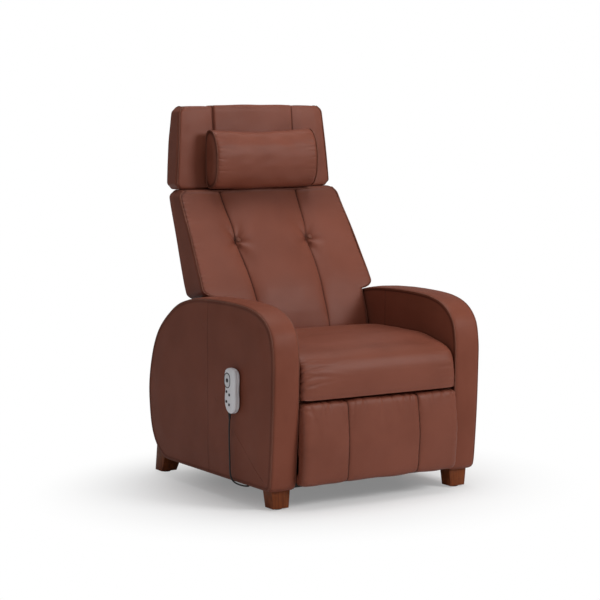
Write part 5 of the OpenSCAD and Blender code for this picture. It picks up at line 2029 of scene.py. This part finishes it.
@dataclass
class NeckPillow:
    """The neck pillow: a soft bolster with oval end panels and a sagging top edge, in millimetres.

    Attributes:
        half: Half of its length.
        low: Its bottom.
        tall: Its height.
        thick: Its thickness.
        back: Y of its back.
        face: How far its end panels' rims lie in from its ends.
        shares: Outline as shares of its thickness and height.
        roll: Distance from the rim and inset of each rolled ring.
        sags: How far the top and the bottom sink in the middle.
        crown: How far the front swells in the middle.
        welt: Radius of the welts.
    """

    half: float = 186.0
    low: float = 865.0
    tall: float = 176.0
    thick: float = 74.0
    back: float = 291.5
    face: float = 9.0
    shares: tuple[Pair, ...] = (
        (0.98, 0.12), (1, 0.35), (1, 0.65), (0.98, 0.88), (0.82, 0.99), (0.55, 1), (0.3, 0.93),
        (0.08, 0.75), (0, 0.5), (0.05, 0.25), (0.25, 0.07), (0.55, 0), (0.82, 0.01))
    roll: tuple[Pair, ...] = ((0.0, 4.6), (1.0, 3.0), (3.0, 1.4), (6.5, 0.4))
    sags: Pair = (9.0, 3.0)
    crown: float = 3.0
    welt: float = 2.2

    def build(self) -> None:
        """Makes the bolster, its end panels and its welts."""
        edge = from_shares(
            self.shares, (self.back - self.thick, self.low), (self.thick, self.tall), 300)
        rim = self.half - self.face
        plain = np.linspace(11.0, 2 * self.half - 22.0, 110) + self.face - self.half
        rings = loft(edge, across(rim, self.roll, plain[plain < rim - 8.0]))
        caps = side_caps(rings, (self.back - self.thick * 0.5, self.low + self.tall * 0.5), 8.0, 26)
        piece = Shell().rings(rings, *caps).object("neck_pillow_leather")
        upholster(piece, self.relief, self.shade, Body.PILLOW, "neck_pillow")
        for side in Side:
            path = self.sag(loft(edge, [(rim + 1.2, 2.2)])[0]) * side.mirror
            welt = tube(f"pillow_{side.tag}_welt", path, self.welt, 10, closed=True)
            dress(welt, Finish.WELT, Body.PILLOW)

    def shade(self, p: Array) -> Array:
        """Painted shade in the valleys beside the welts."""
        return bell(np.abs(p[:, 0]) - (self.half - self.face + 1.0), 1.6) * 0.7

    def sag(self, p: Array) -> Array:
        """Lowers the top in the middle and drops the belly, as a soft filling settles."""
        share = np.clip(np.abs(p[:, 0]) / self.half, 0.0, 1.0)
        up = (p[:, 2] - self.low) / self.tall
        out = p.copy()
        top, low = self.sags
        sag = top * smooth(up, 0.55, 1.0) + low * smooth(-up, -0.35, 0.0)
        out[:, 2] -= (1 - share**2) * sag
        return out

    def relief(self, p: Array, n: Array) -> Array:
        """Sag, crown towards the middle, end puckers and slow unevenness.

        Args:
            p: Points.
            n: Normals.

        Returns:
            Moved points.
        """
        share = np.clip(np.abs(p[:, 0]) / self.half, 0.0, 1.0)
        front = smooth(-n[:, 1], 0.0, 0.6)
        crown = self.crown * (1 - share**2) * front
        away = np.maximum(self.half - self.face - np.abs(p[:, 0]), 0.0)
        ends = gathers(61, self.low, self.low + self.tall, 17.0, 0.9, 26.0)
        puckers = folded(ends, p[:, 2], away) * front
        slow = 1.3 * waves(p, 62, 120.0) + 0.45 * waves(p, 63, 48.0, (2.0, 1.0, 1.0))
        inner = smooth(away, 2.0, 26.0)
        amount = (crown + slow * inner) * smooth(-n[:, 1], -0.7, 0.2)
        amount = amount - puckers * smooth(away, 0.5, 3.0)
        out = self.sag(p) + n * amount[:, None]
        out[:, 1] = np.minimum(out[:, 1], self.back)
        return out


# ---------------------------------------------------------------- outside back, rear panel


@dataclass
class OutsideBack:
    """The leather panels behind: one on the back and one between the arms, in millimetres.

    Attributes:
        foot: Where the back's rear plane starts.
        run: How far that plane goes back and up.
        proud: How far the panel lies off that plane.
        side: X and distance up the plane of the corners on one side.
        rear_corners: X and height of the rear panel's corners.
        rear_face: Y of the rear panel's face.
        welt: Radius of the welts.
    """

    foot: Point = (0.0, 110.0, 345.0)
    run: Pair = (225.0, 488.0)
    proud: float = 2.6
    side: tuple[Pair, ...] = ((250.0, 41.0), (250.0, 221.0), (291.0, 255.0), (273.0, 540.0))
    rear_corners: tuple[Pair, ...] = (
        (262.0, 56.0), (262.0, 399.0), (-262.0, 399.0), (-262.0, 56.0))
    rear_face: float = 306.5
    welt: float = 2.4

    def panel(self, name: str, outline: Array, at: Rule, out: Array, body: Body, node: str,
              crown: float) -> None:
        """A thin panel: its outline rolled over at the edge and swelling to the middle, and a welt.

        Args:
            name: The object's name.
            outline: Its outline in its own plane.
            at: Maps plane points to space.
            out: Unit vector out of its face.
            body: The body that it rides on.
            node: The CAD node that it replaces.
            crown: How far the middle stands out.
        """
        way = inward(outline)
        middle = outline.mean(axis=0)
        steps = [(0.6, -6.0), (0.0, -2.0), (0.0, 0.0), (0.5, 1.4), (1.8, 2.6), (4.0, 3.2)]
        rings = [at(outline + way * inset) + out * lift for inset, lift in steps]
        last = outline + way * 4.0
        for f in np.linspace(0.04, 1.0, 26):
            lift = 3.2 + crown * math.sin(min(1.0, f * 1.6) * math.pi / 2)
            rings.append(at(last * (1 - f) + middle * f) + out * lift)
        grid = np.stack(rings)
        piece = Shell().rings(grid).lid(grid[0]).object(name)

        def slow(p: Array, n: Array) -> Array:
            """Slow unevenness of the face."""
            return p + n * (0.45 * waves(p, 71, 160.0) * smooth(n @ out, 0.5, 0.9))[:, None]

        reshape(piece, slow)
        dress(piece, Finish.LEATHER, body, node)
        welt = tube(name + "_welt", at(outline + way) + out * 1.8, self.welt, 10, closed=True)
        dress(welt, Finish.WELT, body)

    def rounded(self, corners: Sequence[Pair], radius: float, count: int) -> Array:
        """A polygon with rounded corners: each corner is a quarter-like arc of a quadratic curve.

        Args:
            corners: The corners in order.
            radius: Distance from each corner where its curve starts.
            count: Points to return.

        Returns:
            The outline.
        """
        c = np.asarray(corners, float)
        before, after = np.roll(c, 1, axis=0) - c, np.roll(c, -1, axis=0) - c
        a = c + before / np.linalg.norm(before, axis=1)[:, None] * radius
        b = c + after / np.linalg.norm(after, axis=1)[:, None] * radius
        f = np.linspace(0, 1, 12)[None, :, None]
        arcs = (1 - f) ** 2 * a[:, None] + 2 * f * (1 - f) * c[:, None] + f**2 * b[:, None]
        return even(arcs.reshape(-1, 2), count, True)

    def build(self) -> None:
        """Makes the outside back and the rear panel."""
        rake = math.atan2(*self.run)
        up = np.array([0.0, math.sin(rake), math.cos(rake)])
        out = np.array([0.0, math.cos(rake), -math.sin(rake)])
        right = np.array([1.0, 0.0, 0.0])
        shape = self.rounded([*self.side, *((-x, t) for x, t in reversed(self.side))], 16.0, 420)
        flat = self.rounded(self.rear_corners, 5.0, 400)

        def on_back(q: Array) -> Array:
            """Plane points to the back's rear plane."""
            return np.array(self.foot) + q[:, :1] * right + q[:, 1:] * up + out * self.proud

        def on_rear(q: Array) -> Array:
            """Plane points to the rear panel's face."""
            return np.column_stack([q[:, 0], np.full(len(q), self.rear_face), q[:, 1]])

        self.panel("outside_back_leather", shape, on_back, out, Body.BACK, "back_rear_cover", 3.0)
        back = np.array([0.0, 1.0, 0.0])
        self.panel("rear_panel_leather", flat, on_rear, back, Body.BASE, "rear_panel", 1.2)


# ---------------------------------------------------------------- rigid parts


@dataclass
class Hardware:
    """The rigid CAD parts: those with sharp edges get a bevelled copy, and each gets its finish.

    Attributes:
        bevels: Width of the bevel on each bevelled node, in millimetres.
        facet: Angle under which faces are joined to one flat face, in degrees.
        corner: Angle from which an edge is bevelled, in degrees.
    """

    bevels: dict[str, float] = field(default_factory=lambda: {
        "front_foot_left": 1.6, "front_foot_right": 1.6, "rear_foot_left": 1.6,
        "rear_foot_right": 1.6, "lift_links": 0.7, "carrier_links": 0.7, "footrest_brackets": 0.6,
        "footrest_board": 1.0, "control_box": 1.8, "power_inlet": 0.5, "handset_clip": 0.9,
        "front_rail": 1.0, "pivot_brackets": 0.6, "back_lever": 0.7, "headrest_posts": 0.6,
        "headrest_hinges": 0.5, "back_pivot_plates": 0.6, "drive_brackets": 0.6,
        "floor_glides": 0.8, "cord_gland": 0.6})
    facet: float = 1.0
    corner: float = 32.0

    def finish(self, node: str) -> Finish:
        """The finish of a CAD node, by its slot in the record."""
        slots = {row["node"]: row["material_slot"] for row in frame["record"]["subparts"]}
        if node == "back_webbing":
            return Finish.WEBBING
        return next(f for f in Finish if f.slot == slots[node])

    def bevelled(self, node: str, width: float) -> None:
        """A copy of a CAD node with its flat faces joined and its edges rounded.

        Args:
            node: The node.
            width: Width of the bevel in millimetres.
        """
        cad = frame["nodes"][node]
        mesh = cad.data.copy()
        work = bmesh.new()
        work.from_mesh(mesh)
        bmesh.ops.remove_doubles(work, verts=work.verts, dist=0.02 * MM)
        bmesh.ops.dissolve_limit(work, angle_limit=math.radians(self.facet), verts=work.verts,
                                 edges=work.edges)
        work.to_mesh(mesh)
        work.free()
        mesh.polygons.foreach_set("use_smooth", np.ones(len(mesh.polygons), bool))
        piece = placed(node + "_finished", mesh)
        edge = piece.modifiers.new("edges", "BEVEL")
        edge.width = width * MM
        edge.segments = 2
        edge.limit_method = "ANGLE"
        edge.angle_limit = math.radians(self.corner)
        edge.harden_normals = True
        dress(piece, self.finish(node), Body(cad["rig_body"]), node)

    def build(self) -> None:
        """Dresses every CAD node that is still shown."""
        for name, width in self.bevels.items():
            self.bevelled(name, width)
        for name, node in frame["nodes"].items():
            if node.hide_render:
                continue
            node.data.materials.clear()
            node.data.materials.append(self.finish(name).material)
            log.info("%s: %s", name, self.finish(name).name)


def main() -> None:
    """Builds the camera and cord first, then the upholstery, then the hardware."""
    logging.basicConfig(level=logging.INFO, format="%(name)s %(message)s")
    Studio().build()
    Cord().build()
    for part in (Handset(), Arms(), SeatCushion(), FootrestPad(), BackCushion(), HeadrestCushion(),
                 NeckPillow(), OutsideBack(), Hardware()):
        part.build()


if __name__ == "__main__":
    main()
